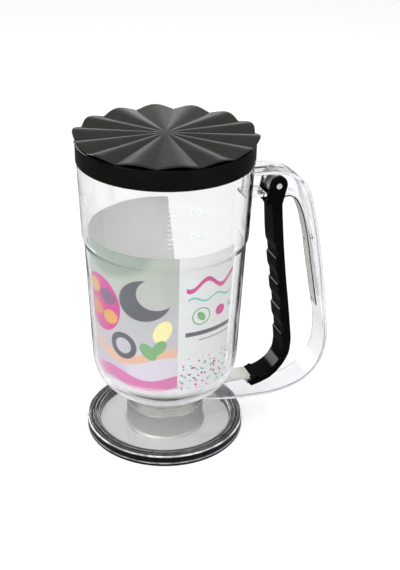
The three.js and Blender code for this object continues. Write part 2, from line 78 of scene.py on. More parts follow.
def linear(red: float, green: float, blue: float) -> Colour:
    """Turns a screen colour, 0 to 255, into the linear colour that a shader takes.

    Args:
        red: red level.
        green: green level.
        blue: blue level.

    Returns:
        The three linear levels.
    """
    levels = np.array([red, green, blue]) / 255.0
    low = levels / 12.92
    high = ((levels + 0.055) / 1.055) ** 2.4
    return tuple(float(value) for value in np.where(levels <= 0.04045, low, high))


# Curves and rows of points


def smooth_row(points: Sequence[Sequence[float]], count: int) -> Row:
    """Runs a smooth curve through points and spaces points evenly on it.

    The curve between two points is the cubic whose slope at each point is half the step from the
    point before it to the point after it. The even spacing comes from the running length.

    Args:
        points: the points, two numbers each.
        count: how many steps the finished row has.

    Returns:
        An array of count + 1 points.
    """
    known = np.asarray(points, dtype=float)
    last = len(known) - 1
    at = np.linspace(0.0, last, last * 40 + 1)
    index = np.minimum(at.astype(int), last - 1)
    t = (at - index)[:, None]
    p0, p1 = known[np.maximum(index - 1, 0)], known[index]
    p2, p3 = known[index + 1], known[np.minimum(index + 2, last)]
    m1, m2 = (p2 - p0) / 2, (p3 - p1) / 2
    cubed, squared = 2 * p1 - 2 * p2 + m1 + m2, -3 * p1 + 3 * p2 - 2 * m1 - m2
    return respaced(cubed * t**3 + squared * t**2 + m1 * t + p1, count)


def respaced(row: Row, count: int) -> Row:
    """Spaces count + 1 points evenly along a row, by its running length."""
    length = np.concatenate([[0.0], np.cumsum(np.linalg.norm(np.diff(row, axis=0), axis=1))])
    even = np.linspace(0.0, length[-1], count + 1)
    columns = [np.interp(even, length, column) for column in row.T]
    return np.stack(columns, axis=1)


def sideways(row: Row, distance: float | np.ndarray) -> Row:
    """Moves a row of [x, z] points to the left of its own direction, along its normals."""
    along = np.gradient(row, axis=0)
    along /= np.linalg.norm(along, axis=1)[:, None]
    return row + np.stack([-along[:, 1], along[:, 0]], axis=1) * np.reshape(distance, (-1, 1))


def rounded(
    loop: Sequence[Sequence[float]],
    radius: float | Sequence[float],
    steps: int = 4,
    closed: bool = True,
) -> Row:
    """Rounds the corners of an outline.

    Each corner is replaced by the parabola that leaves one edge and meets the next at the given
    distance from the corner, or at 0.45 of the shorter edge where that is less.

    Args:
        loop: the outline's corners.
        radius: the distance, one for all corners or one for each.
        steps: how many pieces each parabola has.
        closed: whether the last corner joins the first.

    Returns:
        The rounded outline.
    """
    corner = np.asarray(loop, dtype=float)
    before, after = (np.roll(corner, step, axis=0) - corner for step in (1, -1))
    back, ahead = (np.linalg.norm(edge, axis=1)[:, None] for edge in (before, after))
    reach = np.minimum(np.reshape(radius, (-1, 1)), np.minimum(back, ahead) * CORNER_SHARE)
    start = corner + before / np.maximum(back, SAME_POINT) * reach
    end = corner + after / np.maximum(ahead, SAME_POINT) * reach
    if not closed:
        start[0] = end[0] = corner[0]
        start[-1] = end[-1] = corner[-1]
    t = np.linspace(0.0, 1.0, steps + 1)[None, :, None]
    bent = (1 - t) ** 2 * start[:, None] + 2 * t * (1 - t) * corner[:, None] + t**2 * end[:, None]
    points = bent.reshape(-1, corner.shape[1])
    keep = np.linalg.norm(points - np.roll(points, 1, axis=0), axis=1) > SAME_POINT
    keep[0] = True
    return points[keep]


def oblong(low: Sequence[float], high: Sequence[float], start: int = 0) -> Row:
    """Lists a rectangle's corners anticlockwise, from its low one or start corners after it."""
    corners = np.array([low, [high[0], low[1]], high, [low[0], high[1]]], dtype=float)
    return np.roll(corners, -start, axis=0)


# Meshes


def placed(name: str, data: bpy.types.ID) -> Piece:
    """Makes an object for its data and puts it into the scene."""
    piece = bpy.data.objects.new(name, data)
    bpy.context.scene.collection.objects.link(piece)
    return piece


def read(items: bpy.types.bpy_prop_collection, name: str) -> np.ndarray:
    """Reads a vector of each of a mesh's vertices or faces."""
    values = np.empty(len(items) * 3)
    items.foreach_get(name, values)
    return values.reshape(-1, 3)


def mesh_piece(name: str, points: np.ndarray, faces: Faces) -> Piece:
    """Makes an object from points in millimetres and faces.

    Args:
        name: the piece's name.
        points: the points, three numbers each.
        faces: the point numbers of each face.

    Returns:
        The new object, with no doubled points and smooth faces that point outwards.
    """
    mesh = bpy.data.meshes.new(name)
    mesh.from_pydata(np.asarray(points) * MM, [], faces)
    body = bmesh.new()
    body.from_mesh(mesh)
    bmesh.ops.remove_doubles(body, verts=body.verts, dist=WELD_DISTANCE)
    bmesh.ops.recalc_face_normals(body, faces=body.faces)
    body.to_mesh(mesh)
    body.free()
    mesh.shade_smooth()
    return placed(name, mesh)


def grid_faces(rows: int, columns: int, close_rows: bool, close_columns: bool) -> Faces:
    """Lists the four-sided faces of a grid of points that is numbered row by row.

    Args:
        rows: how many rows of points there are.
        columns: how many points a row has.
        close_rows: whether the last row joins the first.
        close_columns: whether the last point of a row joins its first.

    Returns:
        Four point numbers for each face.
    """
    i = np.arange(rows if close_rows else rows - 1)[:, None]
    j = np.arange(columns if close_columns else columns - 1)[None, :]
    i2, j2 = (i + 1) % rows, (j + 1) % columns
    corners = (i * columns + j, i2 * columns + j, i2 * columns + j2, i * columns + j2)
    return np.stack(corners, axis=-1).reshape(-1, 4).tolist()


def tube(name: str, points: np.ndarray) -> Piece:
    """Joins rows of points, each a closed loop, and closes both ends with a flat face."""
    rows, columns = points.shape[:2]
    ends = [list(range(columns)), list(range((rows - 1) * columns, rows * columns))]
    return mesh_piece(name, points.reshape(-1, 3), grid_faces(rows, columns, False, True) + ends)


def even_normals(piece: Piece) -> None:
    """Keeps sharp edges sharp, and shades each big face flat by weighing normals with area."""
    piece.data.set_sharp_from_angle(angle=math.radians(SHARP_ANGLE))
    weighted = piece.modifiers.new("even normals", "WEIGHTED_NORMAL")
    weighted.keep_sharp = True
    weighted.weight = 100


class Axis(Enum):
    """The axis that a turned piece is turned about."""

    UP = "up"
    ACROSS = "across"


def turned(
    name: str,
    profile: Row,
    segments: int = 192,
    axis: Axis = Axis.UP,
    centre: Triple = (0.0, 0.0, 0.0),
) -> Piece:
    """Turns a closed profile of [radius, height] points about an axis.

    A point of the surface is (radius cos a, radius sin a, height), for a full turn of the angle a.

    Args:
        name: the piece's name.
        profile: the profile, as a closed loop, or from the axis back to the axis.
        segments: how many steps the full turn has.
        axis: about the upright, or about the line across the handle's plane.
        centre: where the profile's zero lies.

    Returns:
        The new object.
    """
    a = np.linspace(0.0, 2 * np.pi, segments, endpoint=False)[:, None]
    radius, height = profile[None, :, 0], profile[None, :, 1]
    x, y, z = radius * np.cos(a), radius * np.sin(a), height + 0 * a
    place = [x, y, z] if axis is Axis.UP else [x, z, -y]
    points = np.stack(place, axis=-1) + np.asarray(centre, dtype=float)
    on_axis = profile[0, 0] == 0 and profile[-1, 0] == 0
    faces = grid_faces(segments, len(profile), True, not on_axis)
    piece = mesh_piece(name, points.reshape(-1, 3), faces)
    even_normals(piece)
    return piece


def bar_section(width: float, radii: Pair) -> tuple[Row, Row, Row]:
    """Gives a bar's rounded section.

    The section is a rectangle with a quarter circle at each corner. Each point is a distance into
    the bar from its front or from its back, and a place across it.

    Args:
        width: the bar's width.
        radii: corner radius at the front and at the back.

    Returns:
        For each point of the section: which face it is measured from (0 front, 1 back), the
        distance from that face, and the place across.
    """
    turn = np.linspace(0.0, np.pi / 2, 7)
    near, far = (
        np.stack([r * (1 - np.sin(turn)), width / 2 - r * (1 - np.cos(turn))], axis=1)
        for r in radii
    )
    near_side = np.concatenate([near, near[::-1] * [1, -1]])
    far_side = np.concatenate([far * [1, -1], far[::-1]])
    face = np.repeat([0, 1], [len(near_side), len(far_side)])
    both = np.concatenate([near_side, far_side])
    return face, both[:, 0], both[:, 1]


def bar(
    name: str,
    front: Row,
    back: Row,
    width: float,
    radii: Pair,
    shares: float | np.ndarray = 1.0,
) -> Piece:
    """Sweeps a rounded rectangular section between two rows of [x, z] points.

    At each place the section's front lies on the first row and its back on the second. A point is
    the row's point moved towards the other row by the section's distance, at the section's place
    across. Both ends are closed by a fan round their middle.

    Args:
        name: the piece's name.
        front: one side of the bar.
        back: its other side, with as many points.
        width: the width across the handle's plane.
        radii: corner radius on the first side and on the second.
        shares: the share of the width that each place along the bar has.

    Returns:
        The new object.
    """
    towards = back - front
    towards = towards / np.linalg.norm(towards, axis=1)[:, None]
    face, inset, across = bar_section(width, radii)
    inwards = towards[:, None] * inset[None, :, None]
    from_front = face[None, :, None] == 0
    flat = np.where(from_front, front[:, None] + inwards, back[:, None] - inwards)
    sides = np.broadcast_to(shares, len(front))[:, None] * across
    points = np.stack([flat[..., 0], sides, flat[..., 1]], axis=-1)
    rows, columns = points.shape[:2]
    ends = [points[0].mean(axis=0), points[-1].mean(axis=0)]
    last, tip = (rows - 1) * columns, rows * columns
    fans = [[j, (j + 1) % columns, tip] for j in range(columns)]
    fans += [[last + (j + 1) % columns, last + j, tip + 1] for j in range(columns)]
    all_points = np.concatenate([points.reshape(-1, 3), ends])
    return mesh_piece(name, all_points, grid_faces(rows, columns, False, True) + fans)


def slab(name: str, outline: Row, width: float, edge: float = 0.0, steps: int = 3) -> Piece:
    """Draws a closed [x, z] outline through a width across the handle's plane, with rounded edges.

    Towards each face the outline moves inwards as a quarter circle does: by edge (1 - cos a) at a
    place edge (1 - sin a) short of the face.

    Args:
        name: the piece's name.
        outline: the outline, running anticlockwise.
        width: the full width.
        edge: the edges' radius.
        steps: how many pieces the quarter circle has.

    Returns:
        The new object.
    """
    turn = np.linspace(0.0, np.pi / 2, steps + 1) if edge else np.zeros(1)
    inset = edge * (1 - np.cos(turn))
    across = width / 2 - edge * (1 - np.sin(turn))
    inset = np.concatenate([inset[::-1], inset])
    across = np.concatenate([across[::-1], -across])
    wrapped = np.concatenate([outline[-1:], outline, outline[:1]])
    shifted = np.stack([sideways(wrapped, float(value))[1:-1] for value in inset])
    level = np.broadcast_to(across[:, None], shifted.shape[:2])
    return tube(name, np.stack([shifted[..., 0], level, shifted[..., 1]], axis=-1))


def block(name: str, low: Sequence[float], high: Sequence[float]) -> Piece:
    """Makes a plain box between two corners, as a cutter."""
    piece = slab(name, oblong(low[::2], high[::2]), high[1] - low[1])
    piece.data.transform(Matrix.Translation((0.0, (high[1] + low[1]) / 2 * MM, 0.0)))
    return piece


class Join(Enum):
    """How one body meets another."""

    ADD = "UNION"
    CUT = "DIFFERENCE"


def carved(body: Piece, others: Sequence[tuple[Join, Piece]]) -> Piece:
    """Adds and cuts other bodies, in order, and keeps the result as the first body's own mesh.

    Args:
        body: the piece that is kept.
        others: how each other body meets it, and that body, which is deleted afterwards.

    Returns:
        The piece.
    """
    for how, other in others:
        other.modifiers.clear()
        step = body.modifiers.new("join", "BOOLEAN")
        step.operation = how.value
        step.solver = "MANIFOLD"
        step.object = other
    ready = body.evaluated_get(bpy.context.evaluated_depsgraph_get())
    mesh = bpy.data.meshes.new_from_object(ready)
    body.modifiers.clear()
    old, body.data = body.data, mesh
    for unused in [old, *(other.data for _, other in others)]:
        bpy.data.meshes.remove(unused)
    mesh.name = body.name
    mesh.materials.clear()
    mesh.shade_smooth()
    even_normals(body)
    return body


# Shader building


class Sheet:
    """A node tree with short ways to add and link its nodes."""

    def __init__(self, tree: bpy.types.NodeTree) -> None:
        """Takes the tree and empties it."""
        self.tree = tree
        tree.nodes.clear()

    def add(self, kind: str, settings: dict | None = None, **inputs: object) -> Node:
        """Adds a node.

        Args:
            kind: the node's type, without its ShaderNode or Node prefix.
            settings: attributes of the node.
            inputs: values or sockets by input name, with _ for a space, or iN for input number N.

        Returns:
            The node.
        """
        prefix = "Node" if kind.startswith("Group") else "ShaderNode"
        made = self.tree.nodes.new(prefix + kind)
        for key, value in (settings or {}).items():
            setattr(made, key, value)
        for key, value in inputs.items():
            plain = key[1:].isdigit() and key[0] == "i"
            socket = made.inputs[int(key[1:])] if plain else made.inputs[key.replace("_", " ")]
            if isinstance(value, Socket):
                self.tree.links.new(value, socket)
            elif isinstance(value, tuple) and len(value) == 3 and socket.type == "RGBA":
                socket.default_value = (*value, 1.0)
            else:
                socket.default_value = value
        return made

    def maths(self, operation: str, *values: object, clamp: bool = False) -> Socket:
        """Adds a Math node and returns its result."""
        inputs = {f"i{index}": value for index, value in enumerate(values)}
        settings = {"operation": operation, "use_clamp": clamp}
        return self.add("Math", settings, **inputs).outputs[0]

    def vector(self, operation: str, *values: object, out: str = "Vector") -> Socket:
        """Adds a Vector Math node and returns its result."""
        inputs = {f"i{index}": value for index, value in enumerate(values)}
        return self.add("VectorMath", {"operation": operation}, **inputs).outputs[out]

    def mix(self, share: object, first: object, second: object) -> Socket:
        """Adds a Mix node for colours and returns its result."""
        return self.add("Mix", {"data_type": "RGBA"}, i0=share, i6=first, i7=second).outputs[2]

    def overlaid(self, base: object, layers: Sequence[tuple[object, object]]) -> Socket:
        """Lays colours over a base, each through its mask."""
        for mask, colour in layers:
            base = self.mix(mask, base, colour)
        return base

    def mixed(self, share: object, first: Node, second: Node) -> Node:
        """Adds a Mix Shader node between two shaders."""
        return self.add("MixShader", None, i0=share, i1=first.outputs[0], i2=second.outputs[0])

    def ranged(
        self, value: object, low: float, high: float, to_low: float = 0.0, to_high: float = 1.0
    ) -> Socket:
        """Adds a smooth Map Range node and returns its result."""
        smooth = {"interpolation_type": "SMOOTHSTEP"}
        ends = {"i1": low, "i2": high, "i3": to_low, "i4": to_high}
        return self.add("MapRange", smooth, i0=value, **ends).outputs[0]

    def off(self, value: object, target: object) -> Socket:
        """Gives the distance between two numbers."""
        return self.maths("ABSOLUTE", self.maths("SUBTRACT", value, target))

    def line(self, value: object, middle: float, half: float, strength: float) -> Socket:
        """Masks a line: the strength at its middle, nothing from half its width on, in mm."""
        return self.ranged(self.off(value, middle * MM), 0.0, half * MM, strength, 0.0)

    def noise(
        self, place: object, scale: object, detail: float = 3.0, rough: float = 0.5
    ) -> Socket:
        """Adds a Noise Texture and returns its value."""
        settings = {"Scale": scale, "Detail": detail, "Roughness": rough}
        return self.add("TexNoise", None, Vector=place, **settings).outputs[0]

    def place(self) -> Socket:
        """Adds the object's own coordinates, in metres."""
        return self.add("TexCoord").outputs["Object"]

    def along(self, axis: int) -> Socket:
        """Gives one of the object's own coordinates, in metres."""
        return self.add("SeparateXYZ", None, i0=self.place()).outputs[axis]

    def from_upright(self) -> Socket:
        """Gives the distance from the upright axis, in metres."""
        flat = self.vector("MULTIPLY", self.place(), (1.0, 1.0, 0.0))
        return self.vector("LENGTH", flat, out="Value")

    def group(self, tree: bpy.types.NodeTree, **inputs: float) -> Socket:
        """Places a node group, with _ for a space in its inputs' names, and returns its result."""
        made = self.tree.nodes.new("ShaderNodeGroup")
        made.node_tree = tree
        for label, value in inputs.items():
            made.inputs[label.replace("_", " ")].default_value = value
        return made.outputs[0]


def shader_group(
    name: str, inputs: dict[str, float], output: str, kind: str = "NodeSocketFloat"
) -> tuple[Sheet, Node, Node]:
    """Starts a shader node group.

    Args:
        name: the group's name.
        inputs: each number that the group takes, with its first value.
        output: the result's name.
        kind: the result's socket type.

    Returns:
        The group's sheet, and its input and output nodes.
    """
    tree = bpy.data.node_groups.new(name, "ShaderNodeTree")
    new_socket = tree.interface.new_socket
    for label, value in inputs.items():
        made = new_socket(label, in_out="INPUT", socket_type="NodeSocketFloat")
        made.default_value = value
    new_socket(output, in_out="OUTPUT", socket_type=kind)
    sheet = Sheet(tree)
    return sheet, sheet.add("GroupInput"), sheet.add("GroupOutput")


def new_material(name: str) -> tuple[bpy.types.Material, Sheet]:
    """Starts an empty material and its sheet."""
    material = bpy.data.materials.new(name)
    material.use_nodes = True
    return material, Sheet(material.node_tree)


class SharedEffects:
    """The node groups that more than one finish uses."""

    SMUDGE_DETAIL = 4.0
    SMUDGE_ROUGHNESS = 0.6
    RUB_STRETCH = (900.0, 900.0, 120.0)
    WAVE_SCALE = 45.0

    def __init__(self) -> None:
        """Builds each group once."""
        self.handling = self._handling()
        self.moulding = self._moulding()

    def _handling(self) -> bpy.types.NodeTree:
        """Roughness that handling leaves: broad smudges and fine rubbed lines over a base value."""
        sheet, given, result = shader_group(
            "handling marks", {"Base": 0.1, "Smudge": 0.05, "Rub": 0.03, "Size": 40.0}, "Roughness"
        )
        level, place = given.outputs, sheet.place()
        cloud = sheet.noise(place, level["Size"], self.SMUDGE_DETAIL, self.SMUDGE_ROUGHNESS)
        smudge = sheet.ranged(cloud, 0.42, 0.68)
        stretched = sheet.vector("MULTIPLY", place, self.RUB_STRETCH)
        rub = sheet.ranged(sheet.noise(stretched, 1.0, 2.0), 0.55, 0.8)
        total = sheet.maths("MULTIPLY_ADD", smudge, level["Smudge"], level["Base"])
        total = sheet.maths("MULTIPLY_ADD", rub, level["Rub"], total)
        sheet.tree.links.new(total, result.inputs[0])
        return sheet.tree

    def _moulding(self) -> bpy.types.NodeTree:
        """Relief of a moulded surface: a slow waviness and a fine grain, as a height."""
        sheet, given, result = shader_group(
            "moulding relief", {"Wave": 1.0, "Grain": 0.2, "Grain size": 2500.0}, "Height"
        )
        level, place = given.outputs, sheet.place()
        wave = sheet.maths("MULTIPLY", sheet.noise(place, self.WAVE_SCALE, 1.0), level["Wave"])
        fine = sheet.noise(place, level["Grain size"], 2.0)
        total = sheet.maths("MULTIPLY_ADD", fine, level["Grain"], wave)
        sheet.tree.links.new(total, result.inputs[0])
        return sheet.tree

    def roughness(
        self, sheet: Sheet, base: float, smudge: float, rub: float, size: float
    ) -> Socket:
        """Places the handling group and returns its roughness."""
        return sheet.group(self.handling, Base=base, Smudge=smudge, Rub=rub, Size=size)

    def bump(self, sheet: Sheet, wave: float, grain: float, size: float, distance: float) -> Socket:
        """Places the moulding group behind a Bump node and returns its normal."""
        relief = sheet.group(self.moulding, Wave=wave, Grain=grain, Grain_size=size)
        return sheet.add("Bump", None, Strength=1.0, Distance=distance, Height=relief).outputs[0]


EFFECTS = SharedEffects()


@dataclass(frozen=True)
class Finish:
    """What every finish has: a name, and a way to make its material."""

    name: str

    def make(self) -> bpy.types.Material:
        """Makes the material."""
        raise NotImplementedError


@dataclass(frozen=True)
class ClearPlastic(Finish):
    """Clear moulded plastic with a painted grey-blue shade where its surface is seen edge-on."""

    tint: Colour = (1.0, 1.0, 1.0)
    # Painted shade: edge is the colour that a surface seen edge-on turns to, in place of dark
    # surroundings seen through it.
    edge: Colour = (0.30, 0.31, 0.37)
    edge_shade_from: float = 0.6
    roughness: float = 0.015
    depth_colour: Colour = (0.72, 0.80, 0.86)
    density: float = 22.0
    wave: float = 1.0

    def colour(self, sheet: Sheet) -> Socket:
        """Gives the tint, which turns to the painted edge shade where the surface is seen edge-on.
        """
        facing = sheet.add("LayerWeight", None, Blend=0.5).outputs["Facing"]
        # Painted shade: the tint darkens towards the edge colour where the surface is seen edge-on.
        edge_shade_share = sheet.ranged(facing, self.edge_shade_from, 1.0)
        return sheet.mix(edge_shade_share, self.tint, self.edge_shade_colour(sheet))

    def edge_shade_colour(self, sheet: Sheet) -> object:
        """Gives the painted shade colour of what is seen edge-on."""
        return self.edge

    def glints(self, sheet: Sheet, glass: Node) -> Node:
        """Lays painted highlights and reflections over the glass, where a kind of plastic has them.
        """
        return glass

    def make(self) -> bpy.types.Material:
        """Makes glass that lets lamplight through unbent."""
        material, sheet = new_material(self.name)
        glass = sheet.add(
            "BsdfPrincipled", None, Base_Color=self.colour(sheet), Transmission_Weight=1.0,
            IOR=1.49, Roughness=EFFECTS.roughness(sheet, self.roughness, 0.02, 0.01, 55.0),
            Normal=EFFECTS.bump(sheet, self.wave, 0.0, 900.0, 0.0002),
        )
        through = sheet.add("BsdfTransparent", None, Color=(0.93, 0.94, 0.95))
        is_shadow = sheet.add("LightPath").outputs["Is Shadow Ray"]
        both = sheet.mixed(is_shadow, self.glints(sheet, glass), through)
        depth = sheet.add("VolumeAbsorption", None, Color=self.depth_colour, Density=self.density)
        sheet.add("OutputMaterial", None, Surface=both.outputs[0], Volume=depth.outputs[0])
        return material


@dataclass(frozen=True)
class JugPlastic(ClearPlastic):
    """Clear plastic: pale edges away from the handle, painted dark edge shade towards it, painted
    reflections round the bowl.
    """

    pale_edge: Colour = (0.97, 0.97, 0.98)
    dark_side: Pair = (-10.0, 30.0)
    dark_height: Pair = (48.0, 75.0)
    # Painted reflection round the bowl seen edge-on, and a painted highlight band round its
    # shoulder.
    bowl_reflection: Colour = (0.95, 0.95, 0.96)
    bowl_reflection_from: Pair = (0.45, 0.8)
    bowl_reflection_share: float = 0.6
    shoulder: Triple = (51.8, 5.5, 0.34)

    def above_bowl(self, sheet: Sheet) -> Socket:
        """Masks what is above the bowl."""
        return sheet.ranged(sheet.along(2), *(end * MM for end in self.dark_height))

    def edge_shade_colour(self, sheet: Sheet) -> Socket:
        """Gives the pale edge, which turns to painted dark shade towards the handle and above the
        bowl.
        """
        side = sheet.ranged(sheet.along(0), *(end * MM for end in self.dark_side))
        # Painted shade: the edge colour darkens on the handle's side, above the bowl.
        dark = sheet.maths("MULTIPLY", side, self.above_bowl(sheet))
        return sheet.mix(dark, self.pale_edge, self.edge)

    def glints(self, sheet: Sheet, glass: Node) -> Node:
        """Mixes in a painted pale reflection where the bowl is seen edge-on, and a painted
        highlight along its shoulder.
        """
        facing = sheet.add("LayerWeight", None, Blend=0.5).outputs["Facing"]
        low = sheet.maths("SUBTRACT", 1.0, self.above_bowl(sheet))
        # Painted reflection: thick is the share of a pale surface where the bowl is seen edge-on.
        thick = sheet.ranged(facing, *self.bowl_reflection_from, 0.0, self.bowl_reflection_share)
        share = sheet.maths("MULTIPLY", thick, low)
        # Painted highlight: a pale band round the bowl's shoulder.
        share = sheet.maths("MAXIMUM", share, sheet.line(sheet.along(2), *self.shoulder))
        painted_reflection = sheet.add("BsdfPrincipled", None, Base_Color=self.bowl_reflection, Roughness=0.3)
        return sheet.mixed(share, glass, painted_reflection)


@dataclass(frozen=True)
class RimmedPlastic(ClearPlastic):
    """Clear plastic whose round rim has a darker tint, with a painted highlight along each crest of
    its top and round its foot.
    """

    rim_tint: Colour = (0.2, 0.2, 0.22)
    rim_tint_from: float = 44.0
    # Painted highlight lines along the crests: radius, half width and strength of each.
    crest_highlights: tuple[Triple, ...] = (
        (45.4, 0.5, 0.45), (47.9, 0.6, 0.4), (50.3, 0.5, 0.25), (52.5, 0.7, 0.95),
    )
    crest_height: float = 6.8
    # Painted highlight round the outer foot, and the colour of all painted highlight lines.
    foot_highlight: Triple = (2.1, 0.6, 0.6)
    pale: Colour = (0.86, 0.86, 0.88)

    def glints(self, sheet: Sheet, glass: Node) -> Node:
        """Mixes in painted highlights: a pale surface along rings, broken by a noise.

        A ring's share is 1 - |distance from the ring| / half width, eased at both ends.
        """
        place, radius, height = sheet.place(), sheet.from_upright(), sheet.along(2)
        share: object = 0.0
        for crest in self.crest_highlights:
            share = sheet.maths("MAXIMUM", share, sheet.line(radius, *crest))
        on_top = sheet.ranged(height, (self.crest_height - 0.2) * MM, self.crest_height * MM)
        outside = sheet.maths("GREATER_THAN", radius, self.rim_tint_from * MM)
        foot = sheet.maths("MULTIPLY", sheet.line(height, *self.foot_highlight), outside)
        broken = sheet.ranged(sheet.noise(place, 130.0, 2.0), 0.35, 0.65, 0.35, 1.0)
        # Painted highlights: lines along the crests on top, and round the outer foot.
        lines = sheet.maths("MAXIMUM", sheet.maths("MULTIPLY", share, on_top), foot)
        line = sheet.add("BsdfPrincipled", None, Base_Color=self.pale, Roughness=0.2)
        return sheet.mixed(sheet.maths("MULTIPLY", lines, broken), glass, line)

    def colour(self, sheet: Sheet) -> Socket:
        """Gives the clear tint inside a radius about the upright, and the darker rim tint outside
        it.
        """
        ends = (self.rim_tint_from * MM, (self.rim_tint_from + 0.3) * MM)
        # Darker tint outside the rim's radius.
        outside_rim = sheet.ranged(sheet.from_upright(), *ends)
        return sheet.mix(outside_rim, super().colour(sheet), self.rim_tint)


@dataclass(frozen=True)
class SolidPlastic(Finish):
    """Opaque moulded plastic."""

    colour: Colour = (0.1, 0.1, 0.1)
    worn: Colour = (0.12, 0.12, 0.12)
    roughness: float = 0.15
    smudge: float = 0.08
    grain: float = 0.2
    wave: float = 1.0
    specular: float = 0.5
    relief: float = 0.0002
    soft: float = 0.0

    def make(self) -> bpy.types.Material:
        """Makes the material, paler where a slow noise says that it is rubbed."""
        material, sheet = new_material(self.name)
        patch = sheet.ranged(sheet.noise(sheet.place(), 70.0, 4.0), 0.4, 0.7)
        shader = sheet.add(
            "BsdfPrincipled", None, Base_Color=sheet.mix(patch, self.colour, self.worn), IOR=1.5,
            Roughness=EFFECTS.roughness(sheet, self.roughness, self.smudge, 0.04, 60.0),
            Normal=EFFECTS.bump(sheet, self.wave, self.grain, 2600.0, self.relief),
            Specular_IOR_Level=self.specular, Subsurface_Weight=self.soft, Subsurface_Scale=0.002,
        )
        sheet.add("OutputMaterial", None, Surface=shader.outputs[0])
        return material


@dataclass(frozen=True)
class MilkyPlastic(Finish):
    """Translucent plastic that scatters what shows through it."""

    colour: Colour = (0.8, 0.82, 0.78)
    roughness: float = 0.3
    through: float = 0.6

    def make(self) -> bpy.types.Material:
        """Makes plastic that is part see-through and part body colour."""
        material, sheet = new_material(self.name)
        shader = sheet.add(
            "BsdfPrincipled", None, Base_Color=self.colour, IOR=1.48,
            Transmission_Weight=self.through,
            Roughness=EFFECTS.roughness(sheet, self.roughness, 0.06, 0.04, 70.0),
            Normal=EFFECTS.bump(sheet, 1.0, 0.15, 2200.0, 0.0002),
        )
        sheet.add("OutputMaterial", None, Surface=shader.outputs[0])
        return material


@dataclass(frozen=True)
class Steel(Finish):
    """Rolled or turned steel with fine lines along it, and painted shade along a strip's long
    edges.
    """

    colour: Colour = (0.62, 0.6, 0.55)
    roughness: float = 0.22
    lines: Triple = (300.0, 6000.0, 300.0)
    edge: Colour = (0.62, 0.6, 0.55)
    half_width: float = 4.5
    metallic: float = 1.0

    def make(self) -> bpy.types.Material:
        """Makes metal whose roughness and relief follow fine lines."""
        material, sheet = new_material(self.name)
        place = sheet.place()
        lines = sheet.noise(sheet.vector("MULTIPLY", place, self.lines), 1.0, 3.0)
        stain = sheet.ranged(sheet.noise(place, 160.0, 4.0), 0.45, 0.75)
        darker = tuple(value * 0.8 for value in self.colour)
        across = sheet.maths("ABSOLUTE", sheet.along(1))
        # Painted shade: the colour darkens to the edge colour near a strip's long edges.
        edge_shade_mask = sheet.ranged(across, (self.half_width - 0.8) * MM, (self.half_width - 0.3) * MM)
        stained = sheet.mix(stain, self.colour, darker)
        shader = sheet.add(
            "BsdfPrincipled", None, Base_Color=sheet.mix(edge_shade_mask, stained, self.edge),
            Metallic=self.metallic,
            Roughness=sheet.ranged(lines, 0.3, 0.7, self.roughness * 0.7, self.roughness * 1.4),
            Normal=sheet.add("Bump", None, Strength=0.4, Distance=0.00004, Height=lines).outputs[0],
        )
        sheet.add("OutputMaterial", None, Surface=shader.outputs[0])
        return material


